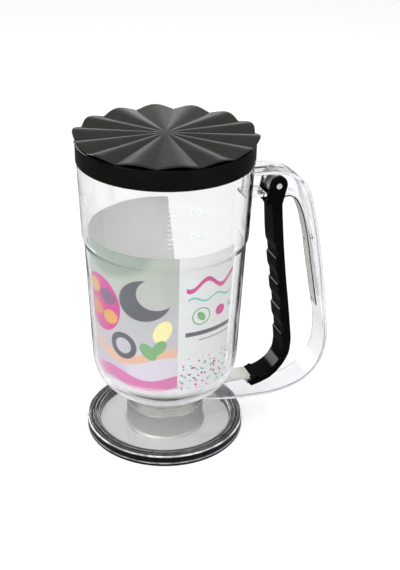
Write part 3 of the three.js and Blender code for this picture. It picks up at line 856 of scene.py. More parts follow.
class CardArt:
    """The card's print: rounded paper-cut shapes, confetti and ribbons, drawn over its UV map.

    The UV map is in decimetres: round the card from its back edge, and up from its lower edge.
    """

    MAGENTA: Colour = linear(200, 62, 142)
    TEAL: Colour = linear(96, 186, 184)
    PLUM: Colour = linear(120, 92, 122)
    AMBER: Colour = linear(214, 160, 84)
    ORANGE: Colour = linear(206, 134, 96)
    SLATE: Colour = linear(86, 88, 96)
    PEACH: Colour = linear(222, 178, 152)
    CREAM: Colour = linear(236, 228, 170)
    LEAF: Colour = linear(120, 168, 118)
    PICTURE_START = 52.0
    PICTURE_END = 158.5
    MM_PER_UV = 100.0

    def __init__(self) -> None:
        """Builds the group."""
        self.sheet, _, result = shader_group("card print", {}, "Color", "NodeSocketColor")
        self.tree = self.sheet.tree
        self.place = self.sheet.vector("SCALE", self.sheet.add("TexCoord").outputs["UV"])
        self.place.node.inputs["Scale"].default_value = self.MM_PER_UV
        self.x, self.y = self.sheet.add("SeparateXYZ", None, i0=self.place).outputs[:2]
        self.tree.links.new(self._print(), result.inputs[0])

    def _turned(self, place: Socket, turn: float) -> Socket:
        """Turns a place by degrees."""
        about = {"rotation_type": "Z_AXIS"}
        made = self.sheet.add("VectorRotate", about, Vector=place, Angle=math.radians(turn))
        return made.outputs[0]

    def _oval(self, at: Pair, radii: Pair, turn: float = 0.0, soft: float = 0.25) -> Socket:
        """Masks an oval: the place, moved, turned and divided by the radii, is shorter than 1.

        Args:
            at: its middle, in millimetres.
            radii: its two radii.
            turn: its turn in degrees.
            soft: how wide its edge is, in millimetres.

        Returns:
            The mask.
        """
        moved = self.sheet.vector("SUBTRACT", self.place, (*at, 0.0))
        shrunk = self.sheet.vector("DIVIDE", self._turned(moved, -turn), (*radii, 1.0))
        length = self.sheet.vector("LENGTH", shrunk, out="Value")
        edge = soft / min(radii)
        return self.sheet.ranged(length, 1.0 - edge, 1.0 + edge, 1.0, 0.0)

    def _minus(self, whole: Socket, hole: Socket) -> Socket:
        """Cuts one mask out of another."""
        return self.sheet.maths("MULTIPLY", whole, self.sheet.maths("SUBTRACT", 1.0, hole))

    def _ring(self, at: Pair, outer: float, inner: float) -> Socket:
        """Masks a round ring."""
        return self._minus(self._oval(at, (outer, outer)), self._oval(at, (inner, inner)))

    def _between(self, value: Socket, low: float, high: float, soft: float) -> Socket:
        """Masks what lies between two ends, each soft on both its sides."""
        begun = self.sheet.ranged(value, low - soft, low + soft)
        ended = self.sheet.ranged(value, high - soft, high + soft, 1.0, 0.0)
        return self.sheet.maths("MULTIPLY", begun, ended)

    def _ribbon(
        self, height: float, swing: float, length: float, width: float, start: float, end: float
    ) -> Socket:
        """Masks a wavy ribbon: the distance from height + swing sin(x / length) is small."""
        wave = self.sheet.maths("SINE", self.sheet.maths("DIVIDE", self.x, length))
        off = self.sheet.off(self.y, self.sheet.maths("MULTIPLY_ADD", wave, swing, height))
        inside = self.sheet.ranged(off, width / 2 - 0.2, width / 2 + 0.2, 1.0, 0.0)
        return self.sheet.maths("MULTIPLY", inside, self._between(self.x, start, end, 0.3))

    def _confetti(
        self, cell: float, dot: float, stretch: float, turn: float, low: float, high: float
    ) -> tuple[Socket, Socket]:
        """Scatters dots or dashes, one near the middle of each cell, between two heights.

        Args:
            cell: the cells' size in millimetres.
            dot: the dot's radius as a share of a cell.
            stretch: how many times longer a dash is than it is wide.
            turn: the dashes' turn in degrees.
            low: the lowest height.
            high: the highest height.

        Returns:
            The mask, and a random number for each dot.
        """
        scale = (cell * stretch, cell, 1.0)
        cells = self.sheet.vector("DIVIDE", self._turned(self.place, turn), scale)
        flat = {"voronoi_dimensions": "2D", "feature": "F1"}
        made = self.sheet.add("TexVoronoi", flat, Vector=cells, Scale=1.0, Randomness=0.75)
        mask = self.sheet.ranged(made.outputs["Distance"], dot * 0.8, dot * 1.1, 1.0, 0.0)
        pick = self.sheet.add("SeparateColor", None, i0=made.outputs["Color"]).outputs[0]
        return self.sheet.maths("MULTIPLY", mask, self._between(self.y, low, high, 1.0)), pick

    def _three(self, pick: Socket, colours: Sequence[Colour]) -> Socket:
        """Picks one of three colours by a random number."""
        second = self.sheet.maths("GREATER_THAN", pick, 0.36)
        third = self.sheet.maths("GREATER_THAN", pick, 0.68)
        return self.sheet.mix(third, self.sheet.mix(second, colours[0], colours[1]), colours[2])

    def _picture(self) -> Socket:
        """Lays the shapes over the picture panel."""
        sheet, oval, ribbon = self.sheet, self._oval, self._ribbon
        cloud = sheet.noise(self.place, 0.05, 3.0)
        rise = sheet.ranged(sheet.maths("MULTIPLY_ADD", cloud, 30.0, self.y), 25.0, 105.0)
        ground = sheet.mix(rise, linear(192, 186, 198), linear(174, 180, 170))
        moon = oval((138.0, 66.0), (16.5, 14.0), 20.0)
        bite = oval((146.0, 71.5), (13.0, 11.0), 20.0)
        return sheet.overlaid(ground, (
            (oval((118.0, 96.0), (26.0, 17.0), 12.0, 3.0), linear(146, 158, 146)),
            (oval((152.0, 14.0), (28.0, 17.0), -8.0, 2.5), linear(208, 202, 214)),
            (ribbon(6.0, 2.6, 8.0, 9.0, 60.0, 158.5), linear(206, 118, 168)),
            (self._minus(moon, bite), self.SLATE),
            (oval((105.0, 56.0), (17.0, 19.5)), self.MAGENTA),
            (oval((99.0, 66.0), (6.5, 5.0), 15.0), self.AMBER),
            (oval((112.0, 62.5), (6.8, 5.2), -10.0), self.PLUM),
            (oval((101.0, 51.0), (6.6, 5.0)), self.ORANGE),
            (oval((113.5, 48.5), (6.2, 4.8), 20.0), self.AMBER),
            (ribbon(25.0, 4.5, 11.0, 6.0, 60.0, 158.0), self.PEACH),
            (oval((149.0, 45.0), (5.2, 8.5), -25.0), self.CREAM),
            (self._ring((123.0, 31.0), 9.5, 5.6), self.SLATE),
            (oval((140.0, 30.0), (4.2, 7.0), 40.0), self.LEAF),
            (oval((147.0, 33.5), (3.6, 6.0), -35.0), self.LEAF),
        ))

    def _paper(self) -> Socket:
        """Lays the confetti, ribbons and small shapes over the pale panel."""
        sheet, oval, ribbon = self.sheet, self._oval, self._ribbon
        fibre = sheet.noise(self.place, 0.08, 2.0)
        plain = sheet.mix(fibre, linear(214, 216, 216), linear(226, 226, 225))
        dots, pick = self._confetti(4.6, 0.17, 1.0, 0.0, -5.0, 24.0)
        dashes, pick_dash = self._confetti(4.0, 0.16, 2.2, 35.0, -5.0, 19.0)
        bright = (self.MAGENTA, self.TEAL, self.PLUM)
        return sheet.overlaid(plain, (
            (dots, self._three(pick, bright)),
            (dashes, self._three(pick_dash, bright[::-1])),
            (ribbon(76.0, 3.4, 3.4, 3.2, 163.0, 203.0), self.MAGENTA),
            (ribbon(66.0, 1.6, 2.6, 1.2, 164.0, 201.0), self.TEAL),
            (ribbon(42.0, 0.0, 1.0, 3.0, 163.0, 204.0), self.SLATE),
            (ribbon(37.0, 0.0, 1.0, 1.0, 172.0, 197.0), linear(150, 150, 154)),
            (self._ring((173.0, 54.0), 6.2, 5.3), self.LEAF),
            (oval((173.0, 54.0), (2.2, 3.8), 35.0), self.LEAF),
            (oval((187.0, 54.5), (3.6, 3.6)), self.MAGENTA),
            (oval((196.0, 55.5), (1.9, 1.9)), self.TEAL),
        ))

    def _print(self) -> Socket:
        """Puts the picture panel between its two ends and the pale panel round the rest."""
        after = self.sheet.maths("GREATER_THAN", self.x, self.PICTURE_END)
        before = self.sheet.maths("LESS_THAN", self.x, self.PICTURE_START)
        outside = self.sheet.maths("MAXIMUM", after, before)
        return self.sheet.mix(outside, self._picture(), self._paper())


@dataclass(frozen=True)
class PrintedFace(Finish):
    """Coated card, printed or showing the print faintly from behind."""

    art: CardArt | None = None
    strength: float = 1.0
    plain: Colour = (0.6, 0.6, 0.6)
    roughness: float = 0.42

    def make(self) -> bpy.types.Material:
        """Makes card with a faint fibre and the print at its strength."""
        material, sheet = new_material(self.name)
        fibre = sheet.noise(sheet.place(), 900.0, 3.0)
        blank = sheet.mix(fibre, tuple(value * 0.96 for value in self.plain), self.plain)
        colour = sheet.mix(self.strength, blank, sheet.group(self.art.tree))
        relief = {"Strength": 0.25, "Distance": 0.00006}
        shader = sheet.add(
            "BsdfPrincipled", None, Base_Color=colour, IOR=1.45,
            Roughness=EFFECTS.roughness(sheet, self.roughness, 0.08, 0.03, 60.0),
            Normal=sheet.add("Bump", None, Height=fibre, **relief).outputs[0],
        )
        sheet.add("OutputMaterial", None, Surface=shader.outputs[0])
        return material


class Paint(Enum):
    """The finishes, one for each of the dispenser's materials."""

    STAND = "clear stand plastic"
    JUG = "clear jug plastic"
    HANDLE = "clear handle plastic"
    NECK = "clear neck plastic"
    SOCKET = "hazy socket plastic"
    GRIP = "grip ring rubber"
    SILICONE = "seal silicone"
    VALVE = "valve plate plastic"
    LID_GLOSS = "gloss lid skirt"
    LID_SATIN = "satin fluted lid"
    TRIGGER = "gloss trigger plastic"
    SPRING = "spring steel"
    PIN = "turned pin steel"
    CARD = "printed card face"
    CARD_BACK = "plain card face"
    MARKS = "raised fill marks"


class PaintBox:
    """Makes each finish's material once and hands it out.

    A solid plastic is listed with its screen colour, its worn screen colour, roughness, smudge,
    grain, wave, specular level, and where it differs its relief and how soft light goes into it.
    """

    SOLIDS = {
        Paint.GRIP: ((11, 11, 12), (17, 17, 18), 0.45, 0.1, 0.5, 0.5, 0.15),
        Paint.SILICONE: ((206, 208, 208), (214, 216, 216), 0.5, 0.1, 0.3, 0.6, 0.4, 0.0002, 0.2),
        Paint.LID_GLOSS: ((12, 13, 10), (15, 16, 13), 0.08, 0.05, 0.02, 1.0, 0.16),
        Paint.LID_SATIN: ((34, 35, 31), (38, 39, 35), 0.15, 0.05, 0.08, 0.7, 0.15),
        Paint.TRIGGER: ((6, 7, 6), (9, 10, 9), 0.11, 0.05, 0.04, 1.0, 0.08),
        Paint.MARKS: ((222, 225, 229), (226, 229, 232), 0.3, 0.05, 0.1, 0.5, 0.5),
    }

    def __init__(self) -> None:
        """Describes every finish."""
        art = CardArt()
        self.finishes: dict[Paint, Finish] = {
            paint: SolidPlastic(paint.value, linear(*colour), linear(*worn), *rest)
            for paint, (colour, worn, *rest) in self.SOLIDS.items()
        }
        self.finishes |= {
            Paint.STAND: RimmedPlastic(
                Paint.STAND.value, tint=(0.645, 0.635, 0.635), edge=(0.5, 0.5, 0.52),
                roughness=0.03, density=12.0, wave=0.3, rim_tint=(0.16, 0.16, 0.18), rim_tint_from=44.6),
            Paint.SOCKET: ClearPlastic(
                Paint.SOCKET.value, tint=(0.78, 0.775, 0.75), edge=(0.75, 0.745, 0.73),
                roughness=0.45, density=4.0, wave=2.0),
            # The jug's edge colour is a painted dark shade, used towards the handle.
            Paint.JUG: JugPlastic(
                Paint.JUG.value, tint=(0.94, 0.94, 0.935), edge=(0.09, 0.09, 0.13), edge_shade_from=0.58,
                depth_colour=(0.63, 0.67, 0.76), density=10.0),
            Paint.HANDLE: ClearPlastic(
                Paint.HANDLE.value, tint=(0.90, 0.905, 0.925), edge=(0.90, 0.905, 0.925),
                edge_shade_from=0.65, roughness=0.12, depth_colour=(0.84, 0.85, 0.86), density=4.0,
                wave=0.2),
            Paint.NECK: ClearPlastic(
                Paint.NECK.value, tint=(0.985, 0.98, 0.96), edge=(0.90, 0.895, 0.88),
                roughness=0.2, density=4.0, wave=2.0),
            Paint.VALVE: MilkyPlastic(Paint.VALVE.value, linear(234, 236, 229), 0.28, 0.5),
            # The spring's edge colour is a painted shade along its long edges.
            Paint.SPRING: Steel(
                Paint.SPRING.value, (0.90, 0.88, 0.80), 0.3, edge=(0.035, 0.03, 0.027),
                metallic=0.12),
            Paint.PIN: Steel(
                Paint.PIN.value, (0.82, 0.82, 0.80), 0.3, (2500.0, 300.0, 2500.0),
                (0.82, 0.82, 0.80), 40.0, 0.5),
            Paint.CARD: PrintedFace(Paint.CARD.value, art, 1.0, linear(214, 215, 214)),
            Paint.CARD_BACK: PrintedFace(
                Paint.CARD_BACK.value, art, 0.16, linear(240, 240, 237), 0.5),
        }
        self.made: dict[Paint, bpy.types.Material] = {}

    def pot(self, paint: Paint) -> bpy.types.Material:
        """Returns a finish's material, made at its first use."""
        if paint not in self.made:
            self.made[paint] = self.finishes[paint].make()
        return self.made[paint]


@dataclass
class Assembly:
    """A group of pieces that are fitted in the same way."""

    paints: PaintBox

    def fit(
        self, piece: Piece, body: str, paint: Paint | Sequence[Paint], slot: str, *nodes: str
    ) -> None:
        """Dresses a piece, makes it ride on its body and lets it stand for its nodes.

        Args:
            piece: the piece.
            body: the body that it moves with.
            paint: its finish, or one for each of its material slots.
            slot: the record's material slot; not used.
            nodes: the nodes that it stands for.
        """
        self.dress(piece, paint)
        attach(piece, body)
        self.stand_for(piece, slot, *nodes)
        LOG.info("%s: %d faces, rides on %s", piece.name, len(piece.data.polygons), body)

    def dress(self, piece: Piece, paint: Paint | Sequence[Paint]) -> None:
        """Gives a piece its finish, or a finish for each of its material slots."""
        for each in [paint] if isinstance(paint, Paint) else paint:
            piece.data.materials.append(self.paints.pot(each))

    def stand_for(self, piece: Piece, slot: str, *nodes: str) -> None:
        """Hides the nodes that a piece stands for."""
        if nodes:
            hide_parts(*nodes)


@dataclass
class DripStand(Assembly):
    """The round tray, its dark ring and the socket for the jug's neck."""

    radius: float = 53.0
    height: float = 7.6
    rim_width: float = 8.6
    wall: float = 1.5
    floor: float = 2.4
    bead_count: int = 3
    bead_height: float = 0.5
    bead_width: float = 1.1
    lip: float = 1.7
    gap: float = 0.3
    neck_radius: float = 26.0
    socket_wall: float = 2.0
    socket_flare: float = 1.6
    socket_top: float = 18.6
    ring_inset: float = 0.05

    def tray_profile(self) -> Row:
        """Gives the tray's section: a flat floor, a hollow rim and three beads round its top."""
        radius, wall, height = self.radius, self.wall, self.height
        inner, under = radius - self.rim_width, height - wall
        spacing = (self.rim_width - wall) / self.bead_count
        half = self.bead_width / 2
        top: list[list[float]] = []
        for index in range(self.bead_count):
            middle = radius - wall / 2 - spacing * (index + 0.5)
            crest = [middle, height + self.bead_height]
            top += [[middle + half, height], crest, [middle - half, height]]
        loop = [
            [0, 0], [inner + wall, 0], [inner + wall, under], [radius - wall, under],
            [radius - wall, self.lip], [radius, self.lip], [radius, height - wall / 2],
            [radius - wall / 2, height], *top, [inner + wall / 2, height],
            [inner, height - wall / 2], [inner, self.floor], [0, self.floor],
        ]
        return rounded(loop, 0.35, 3, closed=False)

    def build(self) -> None:
        """Makes the tray, the ring and the socket."""
        tray = turned("tray_moulding", self.tray_profile(), 224)
        self.fit(tray, "stand", Paint.STAND, "clear_stand", "stand_tray")
        inner = self.radius - self.rim_width + self.wall + self.gap
        outer = self.radius - self.wall - self.gap
        top = self.height - self.wall - self.gap
        edge, lip = self.radius - self.ring_inset, self.lip - self.gap
        loop = [[edge, 0], [edge, lip], [outer, lip], [outer, top], [inner, top], [inner, 0]]
        ring = turned("grip_ring", rounded(loop, [0.5, 0.5, 0.05, 0.5, 0.5, 0.5]), 160)
        self.fit(ring, "stand", Paint.GRIP, "grip_rubber", "stand_grip_ring")
        bottom, bore = self.floor + self.gap, self.neck_radius - self.socket_wall
        neck, flare = self.neck_radius, self.socket_flare
        socket = rounded(
            [[bore, bottom], [neck + flare, bottom], [neck + flare / 3, bottom + flare / 3],
             [neck, bottom + flare], [neck, self.socket_top], [bore, self.socket_top]], 0.5)
        collar = turned("socket_collar", socket, 160)
        self.fit(collar, "stand", Paint.SOCKET, "clear_stand", "stand_socket")


@dataclass
class GateValve(Assembly):
    """The neck ring, the outlet's cover, its seal and the sliding gate."""

    neck_radius: float = 26.0
    neck_wall: float = 2.0
    neck_bottom: float = 18.9
    neck_top: float = 31.7
    bore: float = 7.0
    nozzle_wall: float = 2.2
    nozzle_drop: float = 12.0
    cover_thickness: float = 2.2
    spigot_wall: float = 1.8
    spigot_depth: float = 10.0
    rail_width: float = 2.2
    plate_bottom: float = 26.5
    plate_thickness: float = 1.8
    plate_width: float = 12.0
    plate_overlap: float = 4.5
    seal_inset: float = 1.4
    seal_width: float = 2.0
    seal_height: float = 1.9
    gap: float = 0.3
    drive: Pair = (65.5, 24.42)
    drive_radius: float = 1.0
    hook_depth: float = 2.9
    hook_drop: float = 2.2
    hook_riser: float = 1.7
    hook_back: float = 5.6
    hook_front: float = 3.5
    notch_depth: float = 1.5
    past: float = 2.0
    flush: float = 0.02

    def build(self) -> None:
        """Makes the four pieces."""
        plate_top = self.plate_bottom + self.plate_thickness
        side, radius = self.plate_width / 2 + self.gap, self.neck_radius
        corners = oblong((radius - self.neck_wall, self.neck_bottom), (radius, self.neck_top), 1)
        slot = block(
            "slot_cutter", (0, -side, self.plate_bottom - self.gap),
            (radius + self.past, side, plate_top + self.gap))
        neck = carved(turned("neck_collar", rounded(corners, 0.5), 160), [(Join.CUT, slot)])
        self.fit(neck, "jug", Paint.NECK, "clear_valve", "neck_ring")
        self.fit(self.cover(plate_top), "jug", Paint.NECK, "clear_valve", "outlet_cover")
        inner, low = self.bore + self.seal_inset, plate_top + self.gap
        corners = oblong((inner, low), (inner + self.seal_width, low + self.seal_height), 1)
        gasket = turned("outlet_gasket", rounded(corners, 0.6), 96)
        self.fit(gasket, "jug", Paint.SILICONE, "silicone", "outlet_seal")
        self.fit(self.gate(), "valve_slide", Paint.VALVE, "valve_plastic", "valve_plate")

    def cover(self, plate_top: float) -> Piece:
        """Makes the cover: a disc with a nozzle and a spigot below it, and two rails on top."""
        outer = self.neck_radius - self.neck_wall - self.gap
        top = self.plate_bottom - self.gap
        low = top - self.cover_thickness
        bore, nozzle_end = self.bore, low - self.nozzle_drop
        wall, spigot_end = self.spigot_wall, low - self.spigot_depth
        profile = rounded(
            [[bore, nozzle_end], [bore + self.nozzle_wall / 2, nozzle_end],
             [bore + self.nozzle_wall, low], [outer - wall, low], [outer - wall, spigot_end],
             [outer - wall / 2, spigot_end], [outer, spigot_end + wall / 2], [outer, top],
             [bore, top]], 0.45)
        inner = self.plate_width / 2 + self.gap
        end = math.sqrt(outer**2 - (inner + self.rail_width) ** 2) - wall
        base = top - self.cover_thickness / 2
        rails = [
            block("rail", (-end, near, base), (end, near + self.rail_width, plate_top + self.gap))
            for near in (-inner - self.rail_width, inner)
        ]
        return carved(turned("outlet_housing", profile, 160), [(Join.ADD, rail) for rail in rails])

    def gate(self) -> Piece:
        """Makes the gate: a long flat blade with a rounded end, and the hook at its other end."""
        drive_x, drive_z = self.drive
        half, riser = self.plate_width / 2, drive_x - self.hook_back
        shut = -self.bore - self.plate_overlap
        middle = self.plate_bottom + self.plate_thickness / 2
        outline = rounded(oblong((shut, -half), (riser, half), 1), [0.2, 0.2, 1.5, 1.5], 5)
        blade = slab("gate_blade", outline[::-1], self.plate_thickness, 0.25, 2)
        lie_flat = Matrix(((1, 0, 0, 0), (0, 0, 1, 0), (0, -1, 0, middle * MM), (0, 0, 0, 1)))
        blade.data.transform(lie_flat)
        hook_top, hook_end = self.plate_bottom - self.hook_drop, drive_x + self.hook_front
        hook_low, hook_start = hook_top - self.hook_depth, riser - self.hook_riser
        hook_loop = rounded(
            [[hook_start, middle], [hook_start, hook_low], [hook_end, hook_low],
             [hook_end, hook_top], [riser, hook_top], [riser, middle]],
            [0.05, 0.9, 0.8, 0.4, 0.3, 0.05])
        hook = slab("gate_hook", hook_loop, self.plate_width - self.flush, 0.3, 2)
        reach, across = self.drive_radius + self.gap, half + self.past
        notch = block(
            "gate_notch", (drive_x - reach, -across, drive_z - self.notch_depth),
            (drive_x + reach, across, drive_z + self.hook_depth))
        return carved(blade, [(Join.ADD, hook), (Join.CUT, notch)])


@dataclass
class JugSide:
    """The jug's outline, which the jug, the card and the handle share."""

    bottom: float = 32.0
    bowl_radius: float = 48.0
    bowl_top: float = 62.0
    flat_share: float = 0.46
    round_share: float = 0.86
    step_low: float = 51.1
    step_high: float = 52.6
    step_height: float = 141.0
    step_rise: float = 6.0
    rim_radius: float = 54.4
    skirt_bottom: float = 192.2
    gap: float = 0.3
    wall: float = 2.2

    def row(self, outwards: float, steps: int = 28) -> Row:
        """Gives the side from the flat under the bowl up to the lid, moved outwards.

        The bowl is (flat + (bowl - flat) sin(a)^k, top - rise cos(a)^k) for a quarter turn a. The
        step eases from its lower to its upper radius as 3t^2 - 2t^3.

        Args:
            outwards: how far the side is moved.
            steps: how many pieces the bowl has.

        Returns:
            The [radius, height] points.
        """
        a = np.linspace(0.0, np.pi / 2, steps + 1)
        flat = self.bowl_radius * self.flat_share
        across = np.sin(a) ** self.round_share
        down = np.clip(np.cos(a), 0.0, 1.0) ** self.round_share
        down[-1] = 0.0
        reach, depth = self.bowl_radius - flat + outwards, self.bowl_top - self.bottom + outwards
        bowl = np.stack([flat + reach * across, self.bowl_top - depth * down], axis=1)
        t = np.linspace(0.0, 1.0, 13)
        eased = (self.step_high - self.step_low) * (3 * t**2 - 2 * t**3)
        rise = self.step_height + self.step_rise * (t - 0.5)
        step = np.stack([self.step_low + eased + outwards, rise], axis=1)
        top = np.array([[self.rim_radius + outwards, self.skirt_bottom - self.gap]])
        return np.concatenate([bowl, step, top])

    def radius_at(self, height: float | np.ndarray, outwards: float) -> np.ndarray:
        """Gives the radius at a height."""
        row = self.row(outwards)
        return np.interp(height, row[:, 1], row[:, 0])


@dataclass
class Jug(Assembly):
    """The clear jug and its raised fill marks."""

    side: JugSide = field(default_factory=JugSide)
    floor_thickness: float = 3.2
    funnel_drop: float = 1.4
    funnel_width: float = 6.0
    bore: float = 7.0
    boss_radius: float = 12.0
    boss_bottom: float = 29.0
    groove: Triple = (8.1, 10.7, 30.8)
    rebate: float = 1.2
    rim_height: float = 202.7
    mark_angle: float = -100.0
    mark_heights: tuple[tuple[str, float], ...] = (("900", 178.0), ("800", 163.0))
    mark_offset: float = 12.0
    mark_lift: float = 0.12
    mark_clearance: float = 0.02
    text_size: float = 7.2
    tick_low: float = 156.0
    tick_pitch: float = 3.0
    tick_count: int = 11
    tick_left: float = -6.0
    tick_length: float = 2.6
    long_tick: float = 4.6
    tick_half: float = 0.2

    def profile(self) -> Row:
        """Gives the jug's section, up its outside and down its inside."""
        side, bore, boss = self.side, self.bore, self.boss_bottom
        floor = side.bottom + self.floor_thickness
        rim, rim_inside = side.rim_radius - self.rebate, side.rim_radius - side.wall
        outside = side.row(0.0)
        inside = side.row(-side.wall)
        inside = inside[inside[:, 1] > floor][::-1]
        groove_in, groove_out, groove_top = self.groove
        foot = rounded(
            [[self.boss_radius, boss], [self.boss_radius, side.bottom], outside[0]],
            0.4, 3, closed=False)
        rim_points = rounded(
            [outside[-1], [rim, side.skirt_bottom - side.gap], [rim, self.rim_height],
             [rim_inside, self.rim_height], inside[0]], 0.35, 3, closed=False)
        bottom = rounded(
            [inside[-1], [side.bowl_radius * side.flat_share, floor],
             [bore + self.funnel_width, floor], [bore, floor - self.funnel_drop], [bore, boss],
             [groove_in, boss], [groove_in, groove_top], [groove_out, groove_top],
             [groove_out, boss], [self.boss_radius, boss]], 0.5, 3, closed=False)
        return np.concatenate([row[:-1] for row in (foot, outside, rim_points, inside, bottom)])

    def numbers(self) -> list[tuple[Row, Faces]]:
        """Draws each number flat, in millimetres, as points and faces."""
        flats = []
        for text, height in self.mark_heights:
            words = bpy.data.curves.new("mark_text", "FONT")
            words.body, words.size = text, self.text_size
            words.align_x, words.align_y = "CENTER", "CENTER"
            holder = placed("mark_text", words)
            bpy.context.view_layer.update()
            ready = holder.evaluated_get(bpy.context.evaluated_depsgraph_get())
            mesh = bpy.data.meshes.new_from_object(ready)
            points = read(mesh.vertices, "co")[:, :2] + [self.mark_offset, height]
            flats.append((points, [list(face.vertices) for face in mesh.polygons]))
            bpy.data.curves.remove(words)
            bpy.data.meshes.remove(mesh)
        return flats

    def marks(self) -> Piece:
        """Makes the fill marks: two numbers and a ladder of ticks, wrapped round the wall.

        Their flat shapes' sideways place becomes an angle, arc length over radius, and their height
        stays, so that they lie on the wall.
        """
        flats = self.numbers()
        for index in range(self.tick_count):
            height = self.tick_low + self.tick_pitch * index
            end = self.tick_left + (self.long_tick if index % 5 == 2 else self.tick_length)
            low, high = height - self.tick_half, height + self.tick_half
            flats.append((oblong((self.tick_left, low), (end, high)), [[0, 1, 2, 3]]))
        faces, count = [], 0
        for flat, loops in flats:
            faces += [[number + count for number in loop] for loop in loops]
            count += len(flat)
        across, height = np.concatenate([flat for flat, _ in flats]).T
        radius = self.side.radius_at(height, self.mark_clearance)
        angle = math.radians(self.mark_angle) + across / radius
        points = np.stack([radius * np.cos(angle), radius * np.sin(angle), height], axis=1)
        piece = mesh_piece("fill_marks", points, faces)
        thick = piece.modifiers.new("thickness", "SOLIDIFY")
        thick.thickness = self.mark_lift * MM
        thick.offset = 1.0
        return piece

    def build(self) -> None:
        """Makes the jug and its marks."""
        wall = turned("jug_wall", self.profile(), 256)
        self.fit(wall, "jug", Paint.JUG, "clear_jug", "jug_body")
        self.fit(self.marks(), "jug", Paint.MARKS, "clear_jug")


@dataclass
class RolledCard(Assembly):
    """The printed card that lies against the jug's wall, open towards the handle."""

    side: JugSide = field(default_factory=JugSide)
    thickness: float = 0.6
    low: float = 52.0
    high: float = 147.5
    gap_start: float = -51.0
    gap_end: float = 68.0
    edge_lean: Pair = (-10.0, 2.6)
    columns: int = 181
    rows: int = 17
    margin: float = 30.0

    def build(self) -> None:
        """Makes the card as a thin cone between its two edges.

        A point is (r cos a, r sin a, z) where r grows in a straight line with z. The loop round the
        card's thickness goes up its outside and down its inside. The back edge leans: it turns by
        an angle that grows with z, which fades out over the card.
        """
        side = self.side
        wall_top = side.step_height - side.step_rise / 2
        low_radius, wall_radius = (
            float(side.radius_at(height, -side.wall)) - side.gap for height in (self.low, wall_top)
        )
        slope = (wall_radius - low_radius) / (wall_top - self.low)
        turn = np.radians(np.linspace(self.gap_end, self.gap_start + 360.0, self.columns))
        levels = np.linspace(self.low, self.high, self.rows)
        loop_z = np.concatenate([levels, levels[::-1]])
        radius = low_radius + slope * (loop_z - self.low)
        radius = radius - np.repeat([0.0, self.thickness], self.rows)
        lean = np.radians(np.interp(loop_z, (self.low, self.high), self.edge_lean))
        a = turn[:, None] + lean * np.linspace(1.0, 0.0, self.columns)[:, None]
        points = np.stack([radius * np.cos(a), radius * np.sin(a), loop_z + 0 * a], axis=-1)
        piece = tube("rolled_card", points)
        self.fit(piece, "jug", [Paint.CARD, Paint.CARD_BACK], "printed_card", "label_card")
        self.unroll(piece, low_radius + slope * (self.high - self.low) / 2)
        even_normals(piece)

    def unroll(self, piece: Piece, radius: float) -> None:
        """Gives the card its UV map, arc and height in decimetres, and marks its inner face.

        Args:
            piece: the card.
            radius: its radius halfway up.
        """
        mesh = piece.data
        points = read(mesh.vertices, "co") / MM
        turn = np.degrees(np.arctan2(points[:, 1], points[:, 0])) - self.gap_end
        angle = (turn + self.margin) % 360.0 - self.margin
        flat = np.stack([np.radians(angle) * radius, points[:, 2] - self.low], axis=1)
        flat /= CardArt.MM_PER_UV
        corners = np.empty(len(mesh.loops), dtype=int)
        mesh.loops.foreach_get("vertex_index", corners)
        mesh.uv_layers.new(name="card").data.foreach_set("uv", flat[corners].ravel())
        centres, normals = (read(mesh.polygons, name)[:, :2] for name in ("center", "normal"))
        inner_face = np.sum(centres * normals, axis=1) < 0
        mesh.polygons.foreach_set("material_index", inner_face.astype(int))


